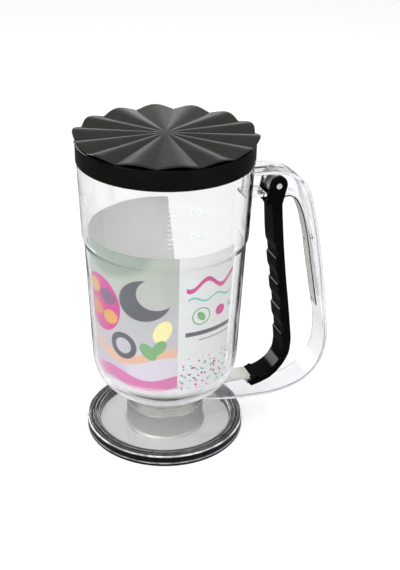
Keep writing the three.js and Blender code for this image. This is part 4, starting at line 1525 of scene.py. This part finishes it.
@dataclass
class FlutedLid(Assembly):
    """The lid's skirt, its seal and the fluted disc on top."""

    rim_radius: float = 54.4
    rebate: float = 1.2
    rim_height: float = 202.7
    jug_wall: float = 2.2
    overlap: float = 10.5
    wall: float = 1.5
    chamfer: float = 0.8
    plate: float = 1.6
    plug_depth: float = 8.0
    plug_wall: float = 1.6
    seal_height: float = 2.4
    seal_depth: float = 1.3
    gap: float = 0.3
    flutes: int = 14
    first_crest: float = 2.9
    rise: float = 2.5
    thickness: float = 1.0
    overhang: float = 0.95
    scallop: float = 1.0
    start_share: float = 0.07
    crest_share: float = 0.68
    groove_share: float = 0.03
    groove_depth: float = 0.4
    rings: int = 27

    def build(self) -> None:
        """Makes the three pieces."""
        bore = self.rim_radius - self.rebate + self.gap
        outer, top = bore + self.wall, self.rim_height + self.gap + self.plate
        under, bottom = top - self.plate, self.rim_height - self.overlap
        plug = self.rim_radius - self.jug_wall - 2 * self.gap - self.seal_depth
        hollow, plug_end = plug - self.plug_wall, self.rim_height - self.plug_depth
        skirt = rounded(
            [[0, under], [hollow, under], [hollow, plug_end], [plug, plug_end], [plug, under],
             [bore, under], [bore, bottom], [outer, bottom], [outer, top], [0, top]],
            [0, 0.4, 0.5, 0.5, 0.3, 0.3, 0.35, 0.45, self.chamfer, 0], closed=False)
        shell = turned("lid_shell", skirt, 224)
        self.fit(shell, "lid", Paint.LID_GLOSS, "lid_gloss", "lid_skirt")
        inner, middle = plug + self.gap, self.rim_height - self.plug_depth / 2
        out, tall = inner + self.seal_depth, self.seal_height
        seal = rounded(
            [[inner, middle - tall / 2], [out, middle - tall / 6], [out, middle + tall / 6],
             [inner, middle + tall / 2]], 0.5)
        gasket = turned("lid_gasket", seal, 160)
        self.fit(gasket, "lid", Paint.SILICONE, "silicone", "lid_seal")
        disc = self.disc(outer + self.overhang, top + self.gap + self.rise)
        self.fit(disc, "lid", Paint.LID_SATIN, "lid_satin", "lid_top")

    def disc(self, edge: float, crest: float) -> Piece:
        """Makes the fluted disc.

        At the angle a and share s of the radius, with w = 2 ((1 + cos 14a) / 2)^crest_share - 1,
        the radius is s (edge + scallop w s) and the height is crest - rise f (1 - w) / 2, where f
        runs from 0 at the flat middle's share to 1 at the edge. The loop at each angle goes out
        over the top, round the edge as a half circle, and back underneath. A groove of the depth
        f (1 - (d / half width)^2)^2 runs along the top of each valley, where d is the distance
        from the valley in pitches.

        Args:
            edge: the disc's radius halfway up a flute.
            crest: the underside's height at a crest.

        Returns:
            The new object.
        """
        reach = self.groove_share * 1.2
        pitch = np.concatenate([
            np.linspace(0.0, 0.5 - reach, 16, endpoint=False),
            np.linspace(0.5 - reach, 0.5 + reach, 10),
            np.linspace(0.5 + reach, 1.0, 17)[1:-1],
        ])
        a = ((np.arange(self.flutes)[:, None] + pitch) * 2 * np.pi / self.flutes).reshape(-1, 1)
        flat, half = np.zeros(self.rings), self.thickness / 2
        turn = np.linspace(np.pi / 2, -np.pi / 2, 9)[1:-1]
        edge_in = 1.0 - half / edge
        top_s = np.linspace(0.0, 1.0, self.rings) ** 0.9 * edge_in
        loop_s = np.concatenate([top_s, np.full(len(turn), edge_in), top_s[::-1]])
        out = np.concatenate([flat, half * np.cos(turn), flat])
        lift = np.concatenate([flat + self.thickness, half + half * np.sin(turn), flat])
        wave = 2 * ((1 + np.cos(a * self.flutes)) / 2) ** self.crest_share - 1
        fall = np.maximum(0.0, loop_s - self.start_share) / (1 - self.start_share)
        radius = loop_s * (edge + self.scallop * wave * loop_s) + out
        height = crest + lift - self.rise * fall * (1 - wave) / 2
        from_valley = np.abs((a * self.flutes / (2 * np.pi)) % 1.0 - 0.5) / self.groove_share
        groove = np.clip(1 - from_valley**2, 0.0, 1.0) ** 2
        height -= self.groove_depth * groove * fall * (lift > half)
        angle = a + math.radians(self.first_crest)
        points = np.stack([radius * np.cos(angle), radius * np.sin(angle), height + 0 * a], axis=-1)
        faces = grid_faces(len(a), len(loop_s), True, False)
        return mesh_piece("fluted_disc", points.reshape(-1, 3), faces)


@dataclass
class GripPlane:
    """The handle's plane: shares of its reach and of the grip's height become millimetres."""

    step_high: float = 52.6
    reach: float = 62.4
    plate_middle: float = 27.4
    pin_height: float = 168.4
    spring_shares: Shares = (
        (0.364, 0.918), (0.389, 0.926), (0.433, 0.934), (0.489, 0.933), (0.546, 0.918),
        (0.596, 0.886), (0.652, 0.823), (0.715, 0.713), (0.771, 0.584), (0.827, 0.458),
        (0.881, 0.34),
    )
    spring_steps: int = 96

    def points(self, shares: Sequence[Sequence[float]]) -> Row:
        """Turns shares into [x, z] points."""
        table = np.asarray(shares, dtype=float)
        rise = self.pin_height - self.plate_middle
        return table * (self.reach, rise) + (self.step_high, self.plate_middle)

    def curve(self, shares: Sequence[Sequence[float]], steps: int) -> Row:
        """Runs a smooth row through shares."""
        return smooth_row(self.points(shares), steps)

    def spring(self) -> Row:
        """Gives the leaf spring's middle line."""
        return self.curve(self.spring_shares, self.spring_steps)


@dataclass
class ClearHandle(Assembly):
    """The clear handle with its band, web and flange, and what is fixed in it."""

    plane: GripPlane = field(default_factory=GripPlane)
    side: JugSide = field(default_factory=JugSide)
    outer_shares: Shares = (
        (-0.042, 1.082), (0.183, 1.082), (0.311, 1.077), (0.423, 1.065), (0.519, 1.044),
        (0.599, 1.013), (0.657, 0.976), (0.708, 0.916), (0.784, 0.787), (0.857, 0.627),
        (0.928, 0.435), (0.978, 0.281), (1.0, 0.182), (0.978, 0.082), (0.878, -0.004),
        (0.702, -0.066), (0.401, -0.101), (0.054, -0.1), (-0.202, -0.091), (-0.522, -0.062),
    )
    top_shares: Shares = ((-0.045, 0.955), (0.1, 0.955), (0.4, 0.955))
    end_shares: Shares = ((0.929, 0.274), (0.958, 0.217))
    notch_shares: Pair = (0.192, 0.431)
    flange_from: float = 0.09
    furthest: float = 114.99
    width: float = 20.0
    band: float = 2.4
    web: float = 3.2
    flange: float = 2.2
    flange_width: float = 16.0
    narrow_width: float = 8.4
    narrow_shares: Pair = (0.66, 0.88)
    top: float = 180.0
    pin_drop: float = 11.6
    pin_x: float = 72.63
    pin_radius: float = 1.9
    bush_wall: float = 1.9
    hub_wall: float = 1.8
    hub_width: float = 13.0
    spring_width: float = 9.0
    spring_thickness: float = 0.8
    spring_bend: tuple[Triple, Triple] = ((75.3, 0.0, 156.8), (93.3, 0.0, 143.4))
    rivet_radius: float = 1.1
    rivet_head: float = 1.9
    rivet_head_height: float = 0.6
    rivet_length: float = 2.6
    rivet_shares: Pair = (0.703, 0.37)
    gap: float = 0.3
    neck_bottom: float = 18.9
    neck_radius: float = 26.0
    hub_past: float = 14.0
    neck_past: float = 20.0
    rivet_past: float = 2.0

    def rivet_places(self) -> list[tuple[np.ndarray, np.ndarray]]:
        """Gives each rivet's place on the spring and the direction straight behind the spring."""
        row = self.plane.spring()
        places = []
        for share in self.rivet_shares:
            height = self.plane.points([[0.0, share]])[0, 1]
            late = np.arange(len(row)) > len(row) * self.flange_from
            index = int(np.argmax(late & (row[:, 1] < height)))
            along = row[index] - row[index - 1]
            along /= np.linalg.norm(along)
            places.append((row[index], np.array([-along[1], along[0]])))
        return places

    def stub(self, name: str, place: np.ndarray, behind: np.ndarray, profile: Row) -> Piece:
        """Turns a profile about the line straight behind the spring.

        Args:
            name: the piece's name.
            place: the [x, z] place on the spring.
            behind: the unit direction behind the spring.
            profile: [radius, distance behind] points.

        Returns:
            The new object.
        """
        piece = turned(name, profile, 32)
        x_axis = Vector((-behind[1], 0.0, behind[0]))
        z_axis = Vector((behind[0], 0.0, behind[1]))
        y_axis = z_axis.cross(x_axis)
        turn = Matrix((x_axis, y_axis, z_axis)).transposed().to_4x4()
        piece.data.transform(Matrix.Translation((place[0] * MM, 0.0, place[1] * MM)) @ turn)
        return piece

    def face(self) -> Row:
        """Gives the side of the web and the flange that faces the lever, behind the spring."""
        spring = self.plane.spring()
        behind = sideways(spring, self.spring_thickness / 2 + self.gap)
        start = round(len(spring) * self.flange_from)
        top, end = self.plane.points(self.top_shares), self.plane.points(self.end_shares)
        return np.concatenate([top, behind[start:], end])

    def inner_flange(self, face: Row) -> Piece:
        """Makes the flange along the face, with a notch for each of the lever's ears."""
        row = respaced(face, 120)
        notch_x = self.plane.points([[share, 0.0] for share in self.notch_shares])[:, 0]
        low, high = self.plane.points([[0.0, share] for share in self.narrow_shares])[:, 1]
        narrow = np.interp(row[:, 1], (low, high), (1.0, self.narrow_width / self.flange_width))
        shares = np.where(row[:, 0] > notch_x.mean(), narrow, 1.0)
        back = sideways(row, self.flange)
        flange = bar("handle_flange", row, back, self.flange_width, (0.6, 0.4), shares)
        low, high = self.plane.pin_height - self.pin_drop, self.top - self.band * 2
        notches = [
            block("notch", (notch_x[0], near, low), (notch_x[1], far, high))
            for near, far in ((self.web / 2, self.width), (-self.width, -self.web / 2))
        ]
        return carved(flange, [(Join.CUT, notch) for notch in notches])

    def handle(self) -> Piece:
        """Makes the handle from its band, web, flange and hub, cut by the jug and the pins."""
        outer = self.plane.curve(self.outer_shares, 150)
        outer[:, 0] = np.minimum(outer[:, 0], self.furthest)
        face = self.face()
        body = bar("handle_shell", outer, sideways(outer, -self.band), self.width, (0.9, 0.5))
        middle = sideways(outer, -self.band / 2)
        below = int(np.argmax(middle[:, 1] < face[-1, 1]))
        web = slab("handle_web", np.concatenate([face, middle[:below][::-1]])[::-1], self.web)
        flange = self.inner_flange(face)
        pin = (self.pin_x, 0.0, self.plane.pin_height)
        bore = self.pin_radius + self.gap + self.bush_wall + self.gap
        half, side, neck = self.hub_width / 2, self.side, self.neck_radius + self.gap
        section = rounded(oblong((0, -half), (bore + self.hub_wall, half)), 0.4, 3, closed=False)
        hub = turned("hub", section, 96, Axis.ACROSS, pin)
        section = oblong((0, -self.hub_past), (bore, self.hub_past))
        hole = turned("hub_bore", section, 96, Axis.ACROSS, pin)
        section = [[[0.0, side.bottom]], side.row(self.gap), [[0.0, side.skirt_bottom]]]
        jug_space = turned("jug_space", np.concatenate(section))
        section = oblong((0, self.neck_bottom - self.neck_past), (neck, side.bottom))
        neck_space = turned("neck_space", section, 160)
        rivet_end = (self.rivet_radius + self.gap, self.rivet_length + self.gap)
        section = oblong((0, -self.rivet_past), rivet_end)
        holes = [
            self.stub("rivet_hole", place, back, section) for place, back in self.rivet_places()
        ]
        added = [(Join.ADD, piece) for piece in (web, flange, hub)]
        cut = [(Join.CUT, piece) for piece in (hole, jug_space, neck_space, *holes)]
        return carved(body, added + cut)

    def fit_spring(self) -> None:
        """Makes the leaf spring, from its tip on the lever to its riveted end."""
        row, half = self.plane.spring(), self.spring_thickness / 2
        front, back = sideways(row, -half), sideways(row, half)
        spring = bar("spring_leaf", front, back, self.spring_width, (0.3, 0.3))
        even_normals(spring)
        self.dress(spring, Paint.SPRING)
        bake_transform(spring)
        self.stand_for(spring, "steel", "leaf_spring")

    def build(self) -> None:
        """Makes the handle, the bush, the spring and its rivets."""
        self.fit(self.handle(), "jug", Paint.HANDLE, "clear_handle", "handle")
        pin = (self.pin_x, 0.0, self.plane.pin_height)
        half, inner = self.hub_width / 2, self.pin_radius + self.gap
        section = rounded(oblong((inner, -half), (inner + self.bush_wall, half), 1), 0.25, 3)
        bush = turned("hub_bush", section, 64, Axis.ACROSS, pin)
        self.fit(bush, "jug", Paint.TRIGGER, "steel", "pivot_bush")
        self.fit_spring()
        head = -self.spring_thickness / 2 - self.gap - self.rivet_head_height
        seat, end = head + self.rivet_head_height, self.rivet_length
        profile = rounded(
            [[0, head], [self.rivet_head, head], [self.rivet_head, seat],
             [self.rivet_radius, seat], [self.rivet_radius, end], [0, end]],
            [0, 0.4, 0.1, 0.05, 0.2, 0], closed=False)
        for number, (place, back) in enumerate(self.rivet_places(), start=1):
            rivet = self.stub(f"leaf_rivet_{number}", place, back, profile)
            self.fit(rivet, "jug", Paint.PIN, "steel", f"spring_rivet_{number}")


@dataclass
class Trigger(Assembly):
    """The black lever with its finger hollows, and the two pins through it."""

    plane: GripPlane = field(default_factory=GripPlane)
    back_shares: Shares = (
        (0.122, -0.044), (0.239, -0.03), (0.353, -0.007), (0.462, 0.039), (0.548, 0.105),
        (0.567, 0.177), (0.556, 0.24), (0.508, 0.401), (0.465, 0.532), (0.417, 0.701),
        (0.381, 0.862), (0.369, 0.926),
    )
    front_shares: Shares = (
        (0.231, 0.93), (0.268, 0.889), (0.308, 0.7), (0.45, 0.223), (0.468, 0.13),
        (0.444, 0.081), (0.37, 0.04), (0.256, 0.012), (0.144, 0.001),
    )
    recess_top: float = 0.683
    recess_pitch: float = 0.138
    recesses: int = 4
    recess_depth: float = 1.15
    recess_share: float = 0.37
    pad_ease: float = 0.3
    ledge_ease: float = 0.05
    width: float = 18.0
    wall: float = 2.2
    front_wall: float = 2.75
    ear: float = 6.0
    ear_reach: float = 8.0
    ear_rise: float = 1.6
    toe_share: Pair = (0.077, -0.02)
    pin_x: float = 72.63
    pin_radius: float = 1.9
    drive: Pair = (65.52, 24.44)
    drive_radius: float = 1.0
    hook_back: float = 5.6
    riser_top: float = 30.5
    gap: float = 0.3
    flush: float = 0.02
    past: float = 20.0
    pin_past: float = 12.0
    slot_top: float = 182.0
    rest_box: Triple = (4.5, 0.7, 0.8)
    steps: int = 260

    def front_row(self) -> Row:
        """Gives the lever's jug side, with a recess for each finger.

        The place is counted in pitches down from the highest recess. From its whole number up to
        the recess's share the side lies in by the full depth. A short smooth ledge then brings it
        back out to the pad, and over the last part of the pitch it eases in again by t^2.
        """
        row = self.plane.curve(self.front_shares, self.steps)
        top = float(self.plane.points([[0.0, self.recess_top]])[0, 1])
        pitch = self.recess_pitch * (self.plane.pin_height - self.plane.plate_middle)
        place = (top - row[:, 1]) / pitch
        within = place - np.floor(place)
        out = np.clip((within - self.recess_share + self.ledge_ease) / self.ledge_ease, 0.0, 1.0)
        ease = np.clip((within - 1 + self.pad_ease) / self.pad_ease, 0.0, 1.0)
        depth = np.where(within <= self.recess_share, 1 - out**2 * (3 - 2 * out), ease**2)
        inside = (place >= -self.pad_ease) & (place <= self.recesses - 1 + self.recess_share)
        return row + np.stack([self.recess_depth * np.where(inside, depth, 0.0), 0 * depth], axis=1)

    def ears(self, front: Row, back: Row) -> Piece:
        """Makes the round ears at the lever's top, across its full width."""
        a = np.linspace(0.0, np.pi, 49)
        rise = self.ear + self.ear_rise * 0.5
        arc_x = self.pin_x + self.ear * np.cos(a)
        arc = np.stack([arc_x, self.plane.pin_height + rise * np.sin(a)], axis=1)
        x, z = self.pin_x - self.ear_reach, front[0, 1]
        root = [front[6] + [0.4, 0.0], back[6] - [0.4, 0.0]]
        loop = np.concatenate([arc, [[x, z + 0.6], [x, z - 1.2]], root])
        return slab("trigger_ears", loop, self.width, 0.8)

    def toe(self, front: Row, back: Row) -> Piece:
        """Makes the toe at the lever's foot."""
        tip = self.plane.points([self.toe_share])[0]
        loop = [front[-9], front[-1], tip, back[-1], back[-9]]
        loop = rounded(loop, [0.1, 0.6, 1.2, 0.6, 0.1], 5)
        return slab("trigger_toe", loop, self.width - self.flush, 1.2, 4)

    def bores(self) -> list[Piece]:
        """Makes the cutters for the hinge pin and for the drive pin."""
        pin = (self.pin_x, 0.0, self.plane.pin_height)
        hole = oblong((0, -self.pin_past), (self.pin_radius + self.gap, self.pin_past))
        half = self.drive_length() / 2 + self.gap
        drive_hole = oblong((0, -half), (self.drive_radius + self.gap, half))
        drive = (self.drive[0], 0.0, self.drive[1])
        return [
            turned("bore", hole, 64, Axis.ACROSS, pin),
            turned("drive_bore", drive_hole, 48, Axis.ACROSS, drive),
        ]

    def lever(self) -> Piece:
        """Makes the lever: a rounded bar with two ears, hollowed from its back."""
        front = self.front_row()
        back = self.plane.curve(self.back_shares, self.steps)[::-1]
        body = bar("trigger_shell", front, back, self.width, (2.0, 1.0))
        ears, toe = self.ears(front, back), self.toe(front, back)
        inside = self.width - self.wall * 2
        half, wide = inside / 2, inside / 2 + self.wall / 2
        inner_front = sideways(self.plane.curve(self.front_shares, self.steps), self.front_wall)
        far_back = sideways(back[::-1], -self.past)
        channel = slab("channel", np.concatenate([far_back, inner_front])[::-1], inside)
        foot = inner_front[-1]
        low = (foot[0] - self.ear, -half, foot[1] - self.past)
        mouth = block("mouth", low, (self.drive[0], half, foot[1]))
        riser_x = self.drive[0] - self.hook_back + self.gap * 3
        riser = block("riser_space", low, (riser_x, half, self.riser_top))
        between = block(
            "between", (self.pin_x - self.past, -half, float(front[0, 1])),
            (self.pin_x + self.past, half, self.slot_top))
        tip_x, tip_z = self.plane.spring()[0]
        rest_x = float(inner_front[3, 0]) - self.front_wall / 2
        below, before, above = self.rest_box
        rest = block("rest", (rest_x, -wide, tip_z - below), (tip_x - before, wide, tip_z + above))
        steps = [
            (Join.ADD, ears), (Join.ADD, toe), (Join.CUT, channel), (Join.CUT, mouth),
            (Join.CUT, riser), (Join.CUT, between), (Join.ADD, rest),
        ]
        return carved(body, steps + [(Join.CUT, bore) for bore in self.bores()])

    def drive_length(self) -> float:
        """Gives the length of the drive pin, which ends inside the lever's walls."""
        return self.width - self.wall

    def pin(self, name: str, radius: float, length: float, place: Pair) -> Piece:
        """Makes a pin across the lever, with a shallow dimple in each end."""
        end = np.array([[0, 0.25], [0.35, 0.2], [0.55, 0], [1, 0]]) * radius + [0, -length / 2]
        loop = rounded(np.concatenate([end, end[::-1] * [1, -1]]), 0.25, closed=False)
        return turned(name, loop, 64, Axis.ACROSS, (place[0], 0.0, place[1]))

    def build(self) -> None:
        """Makes the lever and its pins."""
        self.fit(self.lever(), "trigger", Paint.TRIGGER, "trigger_gloss", "trigger_lever")
        hinge = (self.pin_x, self.plane.pin_height)
        pivot_pin = self.pin("pivot_pin", self.pin_radius, self.width, hinge)
        self.fit(pivot_pin, "trigger", Paint.PIN, "steel", "hinge_pin")
        gate_pin = self.pin("gate_pin", self.drive_radius, self.drive_length(), self.drive)
        self.fit(gate_pin, "trigger", Paint.PIN, "steel", "drive_pin")


@dataclass
class Studio:
    """The floor, the light and the camera."""

    camera_place: Triple = (-178.28, -560.83, 410.75)
    forward: Triple = (0.2890, 0.8392, -0.4608)
    heading: float = 19.0
    roll: float = 0.01496
    focal_pixels: float = 1024.66
    centre_pixels: Pair = (187.02, 284.98)
    picture: tuple[int, int] = (400, 570)
    floor_glow: float = 0.62
    floor_in_gloss: float = 0.1
    windows: tuple[tuple[Triple, float, float], ...] = (
        ((-0.86, -0.25, 0.45), 0.955, 2.2),
        ((-0.15, -0.55, 0.82), 0.95, 1.3),
        ((0.75, -0.45, 0.48), 0.97, 1.0),
        ((-0.52, 0.84, 0.16), 0.95, 8.0),
    )
    strip: Triple = (0.60, 0.80, 0.0)
    lamps: tuple[tuple[str, Triple, Pair, float], ...] = (
        ("key softbox", (-0.85, -0.55, 1.05), (0.9, 0.9), 14.0),
        ("fill softbox", (1.0, -0.8, 0.7), (1.0, 1.2), 8.0),
        ("top softbox", (0.1, 0.35, 1.3), (1.1, 0.8), 9.0),
    )
    lamp_aim: Triple = (0.02, 0.0, 0.1)
    floor_side: float = 6000.0
    floor_level: float = -0.05

    def camera(self) -> None:
        """Places the camera where the photograph was taken from."""
        longest = max(self.picture)
        data = bpy.data.cameras.new("camera")
        data.sensor_fit = "AUTO"
        data.sensor_width = 36.0
        data.lens = self.focal_pixels / longest * data.sensor_width
        data.shift_x = (self.picture[0] / 2 - self.centre_pixels[0]) / longest
        data.shift_y = (self.centre_pixels[1] - self.picture[1] / 2) / longest
        data.clip_start, data.clip_end = 0.01, 50.0
        ahead = Vector(self.forward).normalized()
        turn = math.radians(self.heading)
        right = Vector((math.cos(turn), -math.sin(turn), 0.0))
        right = (right - ahead * right.dot(ahead)).normalized()
        up = right.cross(ahead)
        rolled_right = right * math.cos(self.roll) + up * math.sin(self.roll)
        rolled_up = up * math.cos(self.roll) - right * math.sin(self.roll)
        turn_matrix = Matrix((rolled_right, rolled_up, -ahead)).transposed().to_4x4()
        holder = placed("camera", data)
        holder.matrix_world = Matrix.Translation(Vector(self.camera_place) * MM) @ turn_matrix
        bpy.context.scene.camera = holder

    def floor(self) -> None:
        """Makes the pale floor, which glows white to the camera and still takes a shadow."""
        side, level = self.floor_side, self.floor_level
        corners = [[x, y, level] for x, y in oblong((-side, -side), (side, side))]
        piece = mesh_piece("studio_floor", corners, [[0, 1, 2, 3]])
        material, sheet = new_material("studio floor")
        paper = sheet.add("BsdfDiffuse", None, Color=(0.9, 0.9, 0.9))
        glow, dim = (
            sheet.add("Emission", None, Color=(1.0, 1.0, 1.0), Strength=strength)
            for strength in (1.0, self.floor_in_gloss)
        )
        rays = sheet.add("LightPath").outputs
        seen = sheet.maths("MAXIMUM", rays["Is Camera Ray"], rays["Is Transmission Ray"])
        straight = sheet.mixed(sheet.maths("MULTIPLY", seen, self.floor_glow), paper, glow)
        glossy, bent = rays["Is Glossy Ray"], rays["Is Transmission Ray"]
        mirrored = sheet.maths("SUBTRACT", glossy, bent, clamp=True)
        both = sheet.mixed(mirrored, straight, dim)
        sheet.add("OutputMaterial", None, Surface=both.outputs[0])
        piece.data.materials.append(material)

    def light(self) -> None:
        """Sets the world and the lamps."""
        world = bpy.data.worlds.new("studio")
        bpy.context.scene.world = world
        world.use_nodes = True
        sheet = Sheet(world.node_tree)
        rays = sheet.add("LightPath").outputs
        way = sheet.add("TexCoord").outputs["Generated"]
        up = sheet.add("SeparateXYZ", None, i0=way).outputs[2]
        towards_strip = sheet.vector("DOT_PRODUCT", way, self.strip, out="Value")
        soft = sheet.ranged(up, -0.1, 0.9, 0.55, 0.75)
        low_light = sheet.ranged(up, 0.05, 0.6, 1.0, 0.0)
        behind = sheet.ranged(towards_strip, 0.45, 0.95)
        low_glow = sheet.maths("MULTIPLY", low_light, behind)
        sky = sheet.ranged(up, 0.1, 0.9, 0.12, 0.35)
        shiny = sheet.maths("MULTIPLY_ADD", low_glow, 0.9, sky)
        for centre, size, strength in self.windows:
            middle = tuple(Vector(centre).normalized())
            near = sheet.vector("DOT_PRODUCT", way, middle, out="Value")
            window = sheet.ranged(near, size, size + 0.02)
            shiny = sheet.maths("MULTIPLY_ADD", window, strength, shiny)
        lit, glossy, white = (
            sheet.add("Background", None, Color=(1.0, 1.0, 1.0), Strength=strength)
            for strength in (soft, shiny, 1.0)
        )
        first = sheet.mixed(rays["Is Glossy Ray"], lit, glossy)
        seen = sheet.maths("MAXIMUM", rays["Is Camera Ray"], rays["Is Transmission Ray"])
        both = sheet.mixed(seen, first, white)
        sheet.add("OutputWorld", None, Surface=both.outputs[0])
        aim = Vector(self.lamp_aim)
        for name, place, size, power in self.lamps:
            data = bpy.data.lights.new(name, "AREA")
            data.shape, data.size, data.size_y, data.energy = "RECTANGLE", *size, power
            holder = placed(name, data)
            holder.visible_glossy = False
            turn = (aim - Vector(place)).to_track_quat("-Z", "Y").to_matrix().to_4x4()
            holder.matrix_world = Matrix.Translation(place) @ turn

    def build(self) -> None:
        """Sets the whole studio."""
        bpy.context.scene.view_settings.view_transform = "Standard"
        self.camera()
        self.floor()
        self.light()


def main() -> None:
    """Builds the studio and every piece."""
    logging.basicConfig(level=logging.INFO, format="%(message)s")
    Studio().build()
    paints = PaintBox()
    for assembly in (DripStand, GateValve, Jug, RolledCard, FlutedLid, ClearHandle, Trigger):
        LOG.info("building %s", assembly.__name__)
        assembly(paints).build()


if __name__ == "__main__":
    main()
